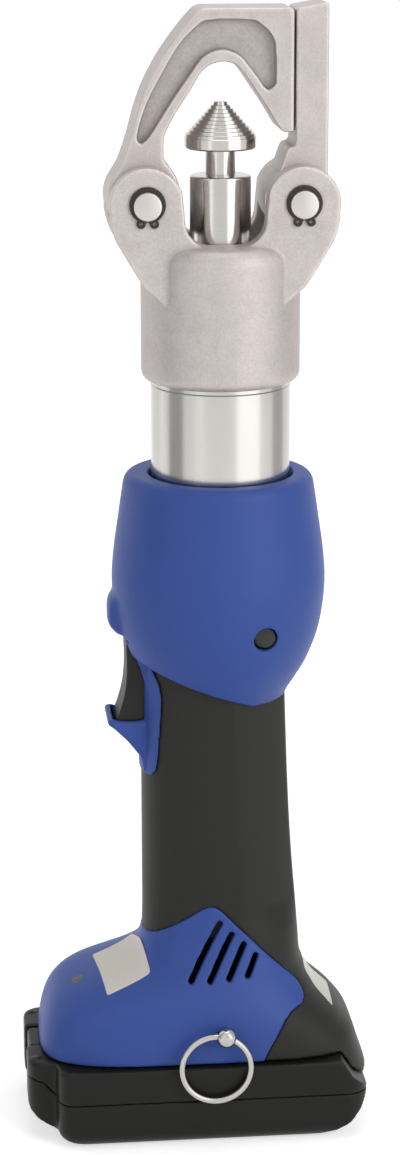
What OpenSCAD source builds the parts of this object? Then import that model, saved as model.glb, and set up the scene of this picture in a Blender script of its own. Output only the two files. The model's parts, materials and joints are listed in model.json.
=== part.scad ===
// Battery hydraulic crimping tool, in-line, with a hinged hook yoke and a swinging latch.
// Frame: origin on the tool axis at the underside of the battery, Z up along the axis, front is -X.
// Lengths are in millimetres.

/* [Battery] */
// Height of the battery slab
battery_h = 30.5; // [27:0.5:36]
// Reach of the battery in front of the tool axis
battery_front = 73.5; // [70:0.5:80]
// Reach of the battery behind the tool axis
battery_rear = 51.5; // [49:0.5:58]
// Half width of the battery
battery_half_w = 37; // [36:0.5:42]
// Radius of a cell
cell_r = 9.2; // [8:0.1:9.4]
// Length of a cell
cell_len = 65; // [50:0.5:66]
// Number of cells
cell_count = 5; // [3:1:5]

/* [Foot] */
// Height of the foot above the battery
foot_h = 44; // [40:0.5:52]
// Reach of the foot in front of the tool axis
foot_front = 68.5; // [64:0.5:70]
// Reach of the foot behind the tool axis
foot_rear = 47.5; // [45:0.5:48]
// Half width of the foot
foot_half_w = 34.5; // [32:0.5:36]
// Width of a vent slot
vent_w = 2.2; // [1.6:0.1:2.6]

/* [Grip] */
// Length of the grip between the foot and the upper cover
grip_len = 91; // [86:0.5:110]
// Reach of the grip in front of the tool axis
grip_front = 29; // [28:0.5:33]
// Reach of the grip behind the tool axis at its lower end
grip_rear_low = 29.5; // [28:0.5:33]
// Reach of the grip behind the tool axis at its upper end
grip_rear_high = 23.2; // [23:0.1:24]
// Half width of the grip
grip_half_w = 23.6; // [23:0.1:26]
// Wall of the grip, foot and cover shells
shell_wall = 2.4; // [2:0.1:2.8]

/* [Upper cover] */
// Height of the upper cover
cover_h = 79.5; // [76:0.5:90]
// Largest radius of the upper cover
cover_r = 37.9; // [36.5:0.1:42]
// Radius of the opening round the cylinder beyond the cylinder itself
collar_gap = 1.6; // [1:0.1:2.2]

/* [Trigger] */
// Width of the trigger
trigger_w = 17; // [14:0.5:19]
// Travel of the trigger
trigger_travel = 4; // [2.5:0.1:4]

/* [Cylinder and ram] */
// Outside radius of the hydraulic cylinder
cylinder_r = 24.4; // [24:0.1:26]
// Length of bare cylinder between the cover and the head
cylinder_show = 33.7; // [28:0.1:45]
// Radius of the ram
ram_r = 10.7; // [9:0.1:11]
// Ram shoulder above the pin line as photographed
ram_shoulder_rise = 8.2; // [6:0.1:10]
// How far the ram draws back from the photographed pose
ram_back = 18; // [10:0.5:18]
// How far the ram goes on from the photographed pose
ram_on = 12; // [6:0.5:12]
// Radius of the punch at its base
punch_r = 12.5; // [11:0.1:12.6]
// Height of the stepped part of the punch
punch_cone_h = 12; // [10:0.1:12.5]
// Steps cut into the punch
punch_steps = 10; // [6:1:12]

/* [Head] */
// Radius of the head body
head_r = 27.8; // [27:0.1:30]
// Height of the head body below its saddle
head_h = 49.3; // [47:0.1:60]
// Distance between the two hinge pins
pin_spacing = 54; // [54:0.1:58]
// Hinge pins above the saddle
pin_rise = 14.5; // [14.5:0.1:17]
// Radius of a hinge pin
pin_r = 5; // [4:0.1:5.5]
// Radius of an ear
ear_r = 13; // [12:0.1:13.2]
// Outer face of an ear from the middle plane
ear_out = 19.4; // [18:0.1:22]
// Half thickness of the yoke and the latch
jaw_half_t = 11.15; // [9:0.05:12]
// Height of the yoke above the pins
yoke_h = 65.9; // [65:0.1:72]
// Depth of the recess in each face of the yoke
yoke_recess = 2.6; // [1:0.1:4]
// Height of the latch above its pin at the outer edge
latch_h = 67.5; // [67:0.1:74]

/* [Drive] */
// Length of the motor can
motor_len = 42; // [36:0.5:44]
// Teeth of the pinion
pinion_teeth = 12; // [12]
// Teeth of a planet gear
planet_teeth = 18; // [18]
// Offset of the eccentric
eccentric_offset = 1.25; // [0.8:0.05:1.4]

/* [Hanging ring] */
// Radius of the ring to the middle of its wire
ring_r = 12.2; // [10:0.1:12.5]
// Radius of the ring's wire
ring_wire_r = 1.15; // [0.9:0.05:1.3]

/* [Hidden] */
// Node to draw, "all" for the whole tool

// Colours
blue = [0.16, 0.22, 0.5];
black = [0.12, 0.12, 0.12];
cast = [0.72, 0.68, 0.66];
steel = [0.75, 0.75, 0.76];
dark = [0.25, 0.25, 0.27];
copper = [0.72, 0.45, 0.3];
alloy = [0.8, 0.8, 0.8];
board = [0.1, 0.35, 0.2];
pale = [0.85, 0.83, 0.78];

// Smoothness of round faces and of the lofted shells
$fn = 64;
loft_sides = 40;
curve_steps = 4;
coil_steps = 8;
coil_sides = 6;

// Clearances
seat_gap = 0.05;
slide_gap = 0.3;
run_gap = 0.25;
lift_gap = 0.5;
cut_over = 1;
cut_far = 90;
split_h = 720;

// Lengths of the drive stack in the grip, and the trigger over it
motor_lift = 5;
gear_lift = 7;
gear_face = 10;
carrier_h = 5;
ring_gear_over = 2;
cap_h = 5;
trigger_drop = 13;
switch_low = 5;
drive_need = motor_lift + motor_len + gear_lift + gear_face + lift_gap + carrier_h + ring_gear_over + cap_h
    + lift_gap + trigger_drop - switch_low;
// The grip is never shorter than its drive
grip_run = max(grip_len, drive_need);

// Heights of the stack, from the battery up
foot_z = battery_h + lift_gap;
grip_z = foot_z + foot_h;
cover_z = grip_z + grip_run;
collar_z = cover_z + cover_h;
head_z = collar_z + cylinder_show;
saddle_z = head_z + head_h;
pin_z = saddle_z + pin_rise;
pin_x = pin_spacing / 2;

// Shell of the grip and foot: one ring each, as height, front, rear, width and squareness shares
foot_shares = [[0, 1, 1, 1, 1], [0.11, 0.985, 0.97, 1, 1], [0.23, 0.96, 0.82, 0.99, 0.9],
    [0.34, 0.92, 0.58, 0.95, 0.75], [0.43, 0.865, 0.38, 0.88, 0.55], [0.5, 0.79, 0.25, 0.8, 0.4],
    [0.545, 0.7, 0.17, 0.74, 0.3], [0.59, 0.565, 0.1, 0.67, 0.2], [0.635, 0.425, 0.045, 0.6, 0.12],
    [0.68, 0.3, 0, 0.52, 0.08], [0.73, 0.19, -0.02, 0.44, 0.05], [0.775, 0.12, -0.03, 0.37, 0.02],
    [0.82, 0.07, -0.04, 0.3, 0], [0.865, 0.04, -0.045, 0.23, 0], [0.93, 0.02, -0.055, 0.14, 0],
    [1, 0.005, -0.07, 0.06, 0]];
grip_shares = [[0.09, 0.7], [0.25, 0.5], [0.42, 0.33], [0.6, 0.2], [0.78, 0.1], [1, 0], [1.18, -0.02]];
grip_square = 2.3;
foot_square_gain = 1.5;
grip_recess = 0.5;
grip_rear_run = grip_rear_low - grip_rear_high;
body_rings = concat(
    [for (s = foot_shares) [foot_z + s[0] * foot_h,
        grip_front + s[1] * (foot_front - grip_front),
        grip_rear_low + s[2] * (foot_rear - grip_rear_low),
        grip_half_w + s[3] * (foot_half_w - grip_half_w),
        grip_square + s[4] * foot_square_gain]],
    [for (s = grip_shares) [grip_z + s[0] * grip_run, grip_front,
        grip_rear_high + s[1] * grip_rear_run, grip_half_w, grip_square]]);
grip_in = grip_half_w - grip_recess - shell_wall;
// Runs of rings that the smaller pieces need
ring_last = len(body_rings) - 1;
plate_skip_count = 2;
label_ring_count = 6;
guard_ring_count = 4;
cover_ring_count = 2;
foot_run = [0, len(foot_shares) + 1];
plate_run = [plate_skip_count, len(foot_shares) - 1];
label_run = [0, label_ring_count];
guard_run = [ring_last - guard_ring_count, ring_last];
cover_run = [ring_last - cover_ring_count, ring_last];
all_run = [0, ring_last];

// Blue zone of the foot in the X, Z plane, as shares of the foot's reach and height
zone_shares = [[-1.2, -0.2], [-1.2, 0.95], [-0.43, 0.945], [-0.077, 1.33], [0.58, 0.557], [0.62, 0.423],
    [0.465, 0.393], [0.255, 0], [0.255, -0.2]];

// Upper cover: radius and height shares of its outside, bottom to top
cover_shares = [[0.63, -0.02], [0.645, 0], [0.735, 0.063], [0.852, 0.158], [0.953, 0.302], [1, 0.478],
    [0.986, 0.629], [0.931, 0.818], [0.897, 0.93], [0.882, 0.968], [0.85, 0.991], [0.8, 1]];
cover_shift = -0.8;
cover_wall = 3;
cover_top = 4.5;
cover_cavity_share = 0.27;
cover_cut_x = 8.9;
cover_cut_share = 0.39;
hood_half_w = 10;
hood_shares = [[0.74, 0.27], [0.9, 0.275], [0.99, 0.285], [1.05, 0.305], [1.08, 0.345], [1.07, 0.4],
    [1.035, 0.455], [0.95, 0.5], [0.74, 0.5]];

// Trigger and guard, as shares of the grip's front reach and of their own heights
trigger_z = cover_z - trigger_drop;
trigger_h = 34;
trigger_back = 25;
trigger_shares = [[1.069, 0.91], [1.069, 1], [1.19, 1], [1.203, 0.88], [1.197, 0.735], [1.2, 0.56],
    [1.224, 0.38], [1.276, 0.206], [1.35, 0.03], [1.33, 0]];
trigger_back_h = 28;
trigger_spring_rise = 14;
trigger_spring_room = 3.4;
trigger_pocket = 6;
trigger_spring_r = 2.6;
trigger_spring_wire = 0.4;
trigger_coil_count = 5;
switch_front = 20.5;
switch_half_w = 6;
switch_h = 20;
guard_proud = 0.8;
guard_back_share = 0.78;
guard_h = 28;
guard_low = 22.5;
guard_half_w = 10.5;
guard_shares = [[0.9, -0.02], [1.34, 0.03], [1.4, 0.02], [1.42, -0.01], [1.4, -0.06], [1.28, -0.2],
    [1.15, -0.34], [1.03, -0.46], [0.9, -0.58]];
slot_half_w = trigger_w / 2 + slide_gap;

// Motor and gears
motor_gap = 2.2;
motor_r = grip_in - motor_gap;
motor_z = grip_z + motor_lift;
motor_top_z = motor_z + motor_len;
can_wall = 1.5;
rib_shares = [0.25, 0.75];
magnet_t = 3;
air_gap = 0.6;
rotor_r = motor_r - can_wall - magnet_t - air_gap;
shaft_r = 1.6;
endcap_h = 6;
rotor_core_share = 0.62;
commutator_r = 5;
ring_pitch_share = 0.778;
ring_teeth = pinion_teeth + 2 * planet_teeth;
gear_m = 2 * motor_r * ring_pitch_share / ring_teeth;
gear_pressure = 20;
gear_add_share = 0.8;
gear_ded_share = 1.25;
gear_add = gear_add_share * gear_m;
gear_ded = gear_ded_share * gear_m;
gear_backlash = 0.14;
gear_z = motor_top_z + gear_lift;
planet_orbit = gear_m * (pinion_teeth + planet_teeth) / 2;
planet_count = 3;
planet_pin_r = 1.6;
carrier_z = gear_z + gear_face + lift_gap;
carrier_rim = 4;
carrier_r = planet_orbit + carrier_rim;
ring_gear_top_z = carrier_z + carrier_h + ring_gear_over;
cap_top_z = ring_gear_top_z + cap_h;
drive_shaft_r = 6;
bearing_r = 9.5;
adapter_r = 16;
adapter_wall = 1.8;

// Pump, from the cylinder down
pump_drop = 31.5;
pump_top_z = collar_z - pump_drop;
pump_boss_h = 10;
pump_h = 30;
pump_z = pump_top_z - pump_h;
pump_r = 26;
pump_cavity_r = 13.5;
pump_cavity_h = 15;
eccentric_r = 8;
eccentric_bearing_t = 3;
eccentric_h = 10;
eccentric_lift = 4;
eccentric_z = pump_z + eccentric_lift;
plunger_r = 4;
plunger_len = 10;
plunger_z = eccentric_z + eccentric_h / 2;
plunger_x = eccentric_r + eccentric_bearing_t + eccentric_offset + slide_gap;
plunger_spring_len = 3;
plunger_spring_wire = 0.35;
plunger_coil_count = 3;
shaft_end_r = 5;
shaft_end_bearing_r = 8;
shaft_end_bearing_h = 5;
relief_r = 4;
relief_len = 14;
relief_x = -17;
pump_screw_x = 12.5;
pump_screw_rise = 8;
pump_screw_z = pump_z + pump_screw_rise;
pump_screw_r = 2;
pump_screw_head_r = 3.8;
pump_screw_head_h = 3;
pump_screw_depth = 9;
recess_r = 4.35;
recess_wall = 2.5;
recess_floor = pump_r + recess_wall;
recess_boss_r = 6.4;
recess_boss_in = pump_r + slide_gap;
bladder_h = 22;
bladder_wall = 1.2;
bladder_gap = 0.8;
bladder_t = 4.6;

// Cylinder, ram and punch
spigot_step = 2.9;
spigot_r = cylinder_r - spigot_step;
head_roof = 9.3;
spigot_len = head_h - head_roof;
cylinder_wall = 4.5;
bore_r = spigot_r - cylinder_wall;
guide_h = 12;
retainer_wire_r = 1.5;
retainer_rise = 11;
piston_h = 12;
piston_z = pump_top_z + pump_boss_h + lift_gap + ram_back;
shoulder_z = pin_z + ram_shoulder_rise;
seal_w = 4;
seal_t = 2.5;
wiper_r = 13;
wiper_h = 3.5;
wiper_rise = 2;
spring_wire_r = 1.5;
return_coil_count = 9;
stud_r = 4;
stud_len = 11;
neck_r = 5.2;
neck_h = 9.2;
punch_ring_h = 4;
punch_tip_r = 1.6;
step_slant_share = 0.35;

// Head
ear_t = 8;
jaw_gap = ear_out - ear_t;
slot_drop = 2;
saddle_half = 14;
saddle_corner = 9;
flank_low = 13.2;
ear_cheek = 0.9;
flank_lean = 28.5;
head_foot_r = 3.4;
pin_over = 2.1;
clip_groove = 0.35;
clip_t = 1;
clip_r = 6.6;
clip_shift = 0.25;
clip_gap_half = 20;
clip_lug_r = 1.5;
clip_lug_hole_r = 0.6;
clip_lug_reach = 6.3;

// Yoke: its outside from the ear up, its window, and the recess in its face, as shares of spacing and height
yoke_out_shares = [[-0.237, 0.02], [-0.226, 0.1], [-0.158, 0.194], [-0.1, 0.325], [-0.047, 0.48],
    [0.012, 0.607], [0.096, 0.736], [0.19, 0.847], [0.28, 0.939], [0.335, 0.985], [0.38, 1]];
nose_share = 0.952;
yoke_nose_shares = [[0.932, 1], [0.952, 0.985], [0.952, 0.365], [0.94, 0.358], [0.885, 0.361]];
yoke_in_shares = [[0.86, 0.376], [0.783, 0.48], [0.72, 0.557], [0.657, 0.633], [0.606, 0.689], [0.561, 0.715],
    [0.493, 0.726], [0.417, 0.71], [0.374, 0.684], [0.343, 0.654], [0.291, 0.581], [0.228, 0.505],
    [0.178, 0.439], [0.133, 0.366], [0.12, 0.325], [0.119, 0.246], [0.131, 0.211], [0.163, 0.179],
    [0.207, 0.117], [0.232, 0.02]];
yoke_pocket_shares = [[-0.026, 0.308], [-0.05, 0.351], [0.007, 0.505], [0.104, 0.659], [0.217, 0.812],
    [0.324, 0.903], [0.406, 0.939], [0.669, 0.939], [0.743, 0.913], [0.806, 0.862], [0.831, 0.797],
    [0.835, 0.633], [0.826, 0.602], [0.794, 0.581], [0.763, 0.592], [0.719, 0.643], [0.656, 0.71],
    [0.606, 0.756], [0.543, 0.781], [0.493, 0.789], [0.419, 0.775], [0.356, 0.74], [0.293, 0.669],
    [0.196, 0.557], [0.102, 0.439], [0.026, 0.344]];
knuckle_inset = 0.2;
knuckle_r = ear_r - knuckle_inset;
// Locking tooth of the yoke inside the latch
tooth_reach = 1.6;
tooth_half_w = 4;
tooth_low_share = 0.55;
tooth_h = 6;
tooth_room = 2.4;

// Latch: its outline from the right, as shares of the ear radius and of its height
latch_shares = [[0.72, 0.1], [0.72, 0.995], [0.68, 1], [-0.1, 0.974], [-0.154, 0.965], [-0.154, 0.32],
    [-0.2, 0.297], [-0.44, 0.286], [-0.6, 0.284], [-0.68, 0.265], [-0.79, 0.215], [-0.95, 0.172],
    [-1.05, 0.124], [-1.07, 0.06], [-0.98, 0]];

// Dock and battery; the dock's rail hangs into the battery, which slides off to the front
dock_plate_h = 2.5;
dock_plate_rear = 26;
dock_inset = 0.7;
rail_neck = 19.7;
rail_head = 23.5;
rail_neck_h = 4.5;
rail_head_h = 4;
rail_front = 46;
rail_gap = 0.4;
slot_front = 58;
lip_drop = 16;
lip_in = 43;
board_t = 1.6;
board_front = 48;
board_rear = 8;
board_half_w = 19;
chip_h = 6;
nose_len = 10.5;
battery_main_front = battery_front - nose_len;
battery_corner = 10;
nose_step = 0.5;
battery_nose_half_w = battery_half_w - battery_corner - nose_step;
battery_nose_corner = 9.5;
corner_steps = 8;
edge_steps = 5;
battery_edge = 7;
battery_seam = 17.5;
battery_floor = 2.2;
notch_half_w = 9;
notch_depth = 10;
notch_low = 8;
button_depth = 6;
button_gap = 0.5;
button_travel = 2.5;
cell_gap = 0.4;
terminal_w = 1.2;
terminal_h = 5;
terminal_len = 9;
terminal_side = 1.6;
terminal_places = [-14, -7, 7, 14];

// Screws of the housing: X and Z of each as shares, and its seat as a share of the half width there
screw_r = 1.5;
screw_head_r = 3;
screw_head_h = 2.4;
screw_boss_r = 3.4;
screw_end = 9;
grip_screw_shares = [-0.78, 0.2, 0.445];
toe_screw_shares = [-0.73, 0.27, 0.58];
heel_screw_shares = [0.66, 0.16, 0.638];
screw_places = [
    [grip_screw_shares[0] * grip_front, grip_z + grip_screw_shares[1] * grip_run,
        grip_screw_shares[2] * grip_half_w],
    [toe_screw_shares[0] * foot_front, foot_z + toe_screw_shares[1] * foot_h,
        toe_screw_shares[2] * foot_half_w],
    [heel_screw_shares[0] * foot_rear, foot_z + heel_screw_shares[1] * foot_h,
        heel_screw_shares[2] * foot_half_w]];

// Vents: upper and lower ends on the side of the foot, as shares of the foot's reach and height
vent_shares = [[-0.039, 1.214, -0.232, 0.684], [0.019, 1.107, -0.121, 0.702], [0.082, 1.018, -0.016, 0.709],
    [0.146, 0.93, 0.086, 0.727]];

// Plates and lamp on the foot
plate_t = 0.35;
plate_shares = [[-0.715, -0.11], [-0.48, -0.15], [-0.4, -0.74], [-0.655, -0.7]];
label_shares = [[0.63, -0.5], [0.88, -0.5], [0.88, 0.1], [0.63, 0.1]];
lamp_shares = [-0.79, -0.25];
lamp_x = lamp_shares[0] * foot_front;
lamp_y = lamp_shares[1] * foot_half_w;
lamp_r = 2.4;
lamp_low = 10;

// Hanging ring and its stud
stud_x = -1.9;
stud_rise = 12.6;
stud_z = foot_z + stud_rise;
bead_r = 3.3;
ring_lean = 16.5;
ring_side = 2.4;
ring_y = -battery_half_w - ring_side;
stud_hole_gap = 0.6;
stud_shank_r = 2;
stud_inner = 4;

// Smooth curve through open points
function spline(p, n) = let (last = len(p) - 1) concat(
    [for (i = [0 : last - 1], k = [0 : n - 1])
        let (t = k / n, a = p[max(i - 1, 0)], b = p[i], c = p[i + 1], d = p[min(i + 2, last)])
        0.5 * (2 * b + (c - a) * t + (2 * a - 5 * b + 4 * c - d) * t * t
            + (3 * b - a - 3 * c + d) * t * t * t)],
    [p[last]]);

// Shares turned into points of a given width and height
function spread(shares, w, h) = [for (s = shares) [s[0] * w, s[1] * h]];

// One ring of the grip and foot shell, set in by a given amount, from angle a to angle b
function shell_ring(r, inset, a, b, n) = let (hx = (r[1] + r[2]) / 2 - inset, xc = (r[2] - r[1]) / 2,
    w = r[3] - inset, e = 2 / r[4])
    [for (k = [0 : n]) let (q = a + (b - a) * k / n, c = cos(q), s = (abs(q % 180) < 0.001) ? 0 : sin(q))
        [xc + hx * sign(c) * pow(abs(c), e), w * sign(s) * pow(abs(s), e), r[0]]];

// Block under the X, Z plane shape, between two Y places
module slab(y_low, y_high) {
    translate([0, y_high, 0])
        rotate([90, 0, 0])
            linear_extrude(y_high - y_low)
                children();
}

// Rod along Y
module rod_y(r, y_low, y_high) {
    translate([0, y_high, 0])
        rotate([90, 0, 0])
            cylinder(r = r, h = y_high - y_low);
}

// Rod along Y on one side of the middle plane, from its near end to its far end
module side_rod(side, r, near, far) {
    rod_y(r, (side < 0) ? -far : near, (side < 0) ? -near : far);
}

// Rod along X
module rod_x(r, x_low, x_high) {
    translate([x_low, 0, 0])
        rotate([0, 90, 0])
            cylinder(r = r, h = x_high - x_low);
}

// Tube or washer
module tube(r_out, r_in, h) {
    difference() {
        cylinder(r = r_out, h = h);
        translate([0, 0, -cut_over])
            cylinder(r = r_in, h = h + 2 * cut_over);
    }
}

// Lofted envelope of the grip and foot; side is 0 for the whole, -1 for the left half, 1 for the right half
module envelope(inset, side, over, run) {
    n = (side == 0) ? loft_sides : loft_sides / 2;
    a = (side < 0) ? 180 : 0;
    b = (side == 0) ? 360 : a + 180;
    last = run[1] - run[0];
    count = (side == 0) ? n : n + 1;
    points = [for (i = [0 : last])
        let (r = body_rings[run[0] + i], lift = (i == 0) ? -over : (i == last) ? over : 0,
            ring = shell_ring(r, inset, a, b, n))
        for (k = [0 : count - 1]) ring[k] + [0, 0, lift]];
    walls = [for (i = [0 : last - 1], k = [0 : count - 1])
        let (j = (k + 1) % count, p = i * count, q = p + count)
        each [[p + k, q + k, q + j], [p + k, q + j, p + j]]];
    bottom = [[for (k = [0 : count - 1]) k]];
    top = [[for (k = [count - 1 : -1 : 0]) last * count + k]];
    polyhedron(points = points, faces = concat(walls, bottom, top));
}

// Everything on one side of the middle plane
module half_space(side) {
    translate([-2 * cut_far, (side < 0) ? -2 * cut_far : 0, -cut_far])
        cube([4 * cut_far, 2 * cut_far, split_h]);
}

// Helical spring standing on Z = 0
module coil(mean_r, wire_r, coil_len, turns) {
    last = turns * coil_steps;
    rise = coil_len - 2 * wire_r;
    points = [for (i = [0 : last], k = [0 : coil_sides - 1])
        let (a = i * 360 / coil_steps, b = k * 360 / coil_sides, r = mean_r + wire_r * cos(b))
        [r * cos(a), r * sin(a), wire_r + rise * i / last + wire_r * sin(b)]];
    walls = [for (i = [0 : last - 1], k = [0 : coil_sides - 1])
        let (j = (k + 1) % coil_sides, p = i * coil_sides, q = p + coil_sides)
        each [[p + k, p + j, q + j], [p + k, q + j, q + k]]];
    start = [[for (k = [coil_sides - 1 : -1 : 0]) k]];
    end = [[for (k = [0 : coil_sides - 1]) last * coil_sides + k]];
    polyhedron(points = points, faces = concat(walls, start, end));
}

// Angle of the involute at radius r from base radius b
function involute(r, b) = (r <= b) ? 0 : sqrt(r * r / (b * b) - 1) * 180 / PI - acos(b / r);

// Outline of an involute gear, thinner by the play at the pitch circle
function gear_outline(teeth, add, ded, play) = let (rp = gear_m * teeth / 2, rb = rp * cos(gear_pressure),
    ra = rp + add, rf = rp - ded, low = max(rb, rf), half = 90 / teeth - play / 2 / rp * 180 / PI)
    [for (t = [0 : teeth - 1]) let (mid = t * 360 / teeth) each concat(
        [for (q = [-half - involute(rp, rb) + involute(low, rb)]) [rf * cos(mid + q), rf * sin(mid + q)]],
        [for (k = [0 : curve_steps]) let (r = low + (ra - low) * k / curve_steps,
            q = half + involute(rp, rb) - involute(r, rb)) [r * cos(mid - q), r * sin(mid - q)]],
        [for (k = [curve_steps : -1 : 0]) let (r = low + (ra - low) * k / curve_steps,
            q = half + involute(rp, rb) - involute(r, rb)) [r * cos(mid + q), r * sin(mid + q)]],
        [for (q = [half + involute(rp, rb) - involute(low, rb)]) [rf * cos(mid + q), rf * sin(mid + q)]])];

// Plain outline of the head's front plates
module ear_outline() {
    lean = [cos(flank_lean), sin(flank_lean)];
    cheek_r = ear_r + ear_cheek;
    touch = [cheek_r * lean[0], -cheek_r * lean[1]];
    for (s = [-1, 1])
        translate([s * pin_x, pin_z])
            circle(r = cheek_r);
    polygon([[-pin_x, pin_z], [-pin_x - touch[0], pin_z + touch[1]], [-head_r, saddle_z - flank_low],
        [-saddle_half, saddle_z - head_h / 2], [saddle_half, saddle_z - head_h / 2],
        [head_r, saddle_z - flank_low],
        [pin_x + touch[0], pin_z + touch[1]], [pin_x, pin_z]]);
}

// Rounded saddle between the ears
module saddle_outline() {
    run = saddle_half - saddle_corner;
    for (s = [-1, 1])
        translate([s * run, saddle_z + saddle_corner])
            circle(r = saddle_corner);
    translate([-run, saddle_z])
        square([2 * run, yoke_h]);
    translate([-saddle_half, saddle_z + saddle_corner])
        square([2 * saddle_half, yoke_h]);
}

module head_body() {
    color(cast)
        difference() {
            union() {
                translate([0, 0, head_z])
                    rotate_extrude()
                        union() {
                            translate([0, head_foot_r])
                                square([head_r, head_h - head_foot_r]);
                            square([head_r - head_foot_r, head_foot_r + cut_over]);
                            translate([head_r - head_foot_r, head_foot_r])
                                intersection() {
                                    circle(r = head_foot_r);
                                    translate([0, -head_foot_r])
                                        square([head_foot_r, head_foot_r + cut_over]);
                                }
                        }
                slab(-ear_out, ear_out)
                    difference() {
                        ear_outline();
                        saddle_outline();
                    }
            }
            translate([-cut_far, -jaw_gap, saddle_z - slot_drop])
                cube([2 * cut_far, 2 * jaw_gap, cut_far]);
            translate([0, 0, head_z - cut_over])
                cylinder(r = spigot_r + seat_gap, h = spigot_len + lift_gap + cut_over);
            translate([0, 0, head_z])
                cylinder(r = ram_r + slide_gap, h = head_h + cut_over);
            translate([0, 0, head_z + spigot_len + wiper_rise])
                cylinder(r = wiper_r + seat_gap, h = wiper_h + seat_gap);
            translate([0, 0, head_z + retainer_rise])
                rotate_extrude()
                    translate([spigot_r, 0])
                        circle(r = retainer_wire_r + slide_gap);
            for (s = [-1, 1])
                translate([s * pin_x, 0, pin_z])
                    rod_y(pin_r + seat_gap, -cut_far, cut_far);
        }
}

module yoke_outline() {
    polygon(concat(spline(spread(yoke_out_shares, pin_spacing, yoke_h), curve_steps),
        spread(yoke_nose_shares, pin_spacing, yoke_h),
        spline(spread(yoke_in_shares, pin_spacing, yoke_h), curve_steps)));
    circle(r = knuckle_r);
}

module yoke() {
    color(cast)
        difference() {
            translate([-pin_x, 0, pin_z])
                union() {
                    slab(-jaw_half_t, jaw_half_t)
                        yoke_outline();
                    translate([nose_share * pin_spacing - tooth_h, -tooth_half_w, tooth_low_share * yoke_h])
                        cube([tooth_h + tooth_reach, 2 * tooth_half_w, tooth_h]);
                }
            for (s = [-1, 1])
                translate([-pin_x, s * (jaw_half_t + cut_over / 2 - yoke_recess / 2), pin_z])
                    slab(-(yoke_recess + cut_over) / 2, (yoke_recess + cut_over) / 2)
                        polygon(spread(yoke_pocket_shares, pin_spacing, yoke_h));
            translate([-pin_x, 0, pin_z])
                rod_y(pin_r + seat_gap, -cut_far, cut_far);
        }
}

module latch() {
    color(cast)
        difference() {
            translate([pin_x, 0, pin_z])
                slab(-jaw_half_t, jaw_half_t) {
                    polygon([for (s = latch_shares) [s[0] * ear_r, s[1] * latch_h]]);
                    circle(r = knuckle_r);
                }
            translate([-pin_x + nose_share * pin_spacing - cut_over, -tooth_half_w - slide_gap,
                pin_z + tooth_low_share * yoke_h - tooth_room])
                cube([tooth_reach + cut_over + slide_gap, 2 * (tooth_half_w + slide_gap),
                    tooth_h + 2 * tooth_room]);
            translate([pin_x, 0, pin_z])
                rod_y(pin_r + seat_gap, -cut_far, cut_far);
        }
}

module hinge_pin() {
    difference() {
        rod_y(pin_r, -ear_out - pin_over, ear_out + pin_over);
        for (s = [-1, 1])
            translate([0, s * (ear_out + seat_gap + clip_t / 2), 0])
                difference() {
                    rod_y(pin_r + cut_over, -clip_t / 2 - seat_gap, clip_t / 2 + seat_gap);
                    rod_y(pin_r - clip_groove, -clip_t, clip_t);
                }
    }
}

module yoke_pin() {
    color(steel)
        translate([-pin_x, 0, pin_z])
            hinge_pin();
}

module latch_pin() {
    color(steel)
        translate([pin_x, 0, pin_z])
            hinge_pin();
}

module circlip_outline() {
    gap = clip_r * sin(clip_gap_half / 2);
    difference() {
        union() {
            translate([0, clip_shift])
                circle(r = clip_r);
            for (s = [-1, 1])
                rotate(-90 + s * clip_gap_half)
                    translate([clip_lug_reach, 0])
                        circle(r = clip_lug_r);
        }
        circle(r = pin_r - clip_groove + seat_gap);
        for (s = [-1, 1])
            rotate(-90 + s * clip_gap_half)
                translate([clip_lug_reach, 0])
                    circle(r = clip_lug_hole_r, $fn = 24);
        polygon([[0, 0], [-gap, -2 * clip_r], [gap, -2 * clip_r]]);
    }
}

module pin_circlips() {
    color(dark)
        for (x = [-pin_x, pin_x], s = [-1, 1])
            translate([x, s * (ear_out + seat_gap + clip_t / 2), pin_z])
                slab(-clip_t / 2, clip_t / 2)
                    circlip_outline();
}

module head_retaining_ring() {
    color(steel)
        translate([0, 0, head_z + retainer_rise])
            rotate_extrude()
                translate([spigot_r, 0])
                    circle(r = retainer_wire_r);
}

module hydraulic_cylinder() {
    color(steel)
        difference() {
            union() {
                translate([0, 0, pump_top_z])
                    cylinder(r = cylinder_r, h = head_z - pump_top_z - seat_gap);
                translate([0, 0, pump_top_z])
                    cylinder(r = spigot_r, h = head_z + spigot_len - pump_top_z);
            }
            translate([0, 0, pump_top_z - cut_over])
                cylinder(r = bore_r, h = head_z + spigot_len - pump_top_z + 2 * cut_over);
            translate([0, 0, head_z + retainer_rise])
                rotate_extrude()
                    translate([spigot_r, 0])
                        circle(r = retainer_wire_r + seat_gap);
        }
}

module rod_guide() {
    color(alloy)
        translate([0, 0, head_z + spigot_len - guide_h])
            tube(bore_r - seat_gap, ram_r + seat_gap, guide_h);
}

module ram_wiper() {
    color(black)
        translate([0, 0, head_z + spigot_len + wiper_rise])
            tube(wiper_r, ram_r + seat_gap, wiper_h);
}

module ram() {
    color(steel)
        difference() {
            union() {
                translate([0, 0, piston_z])
                    cylinder(r = ram_r, h = shoulder_z - piston_z);
                translate([0, 0, piston_z])
                    cylinder(r = bore_r - seat_gap, h = piston_h);
            }
            translate([0, 0, piston_z + piston_h / 2 - seal_w / 2])
                tube(bore_r + cut_over, bore_r - seal_t, seal_w);
            translate([0, 0, shoulder_z - stud_len - lift_gap])
                cylinder(r = stud_r + seat_gap, h = stud_len + cut_over);
        }
}

module piston_seal() {
    color(black)
        translate([0, 0, piston_z + piston_h / 2 - seal_w / 2 + seat_gap])
            tube(bore_r - seat_gap, bore_r - seal_t + seat_gap, seal_w - 2 * seat_gap);
}

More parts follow.
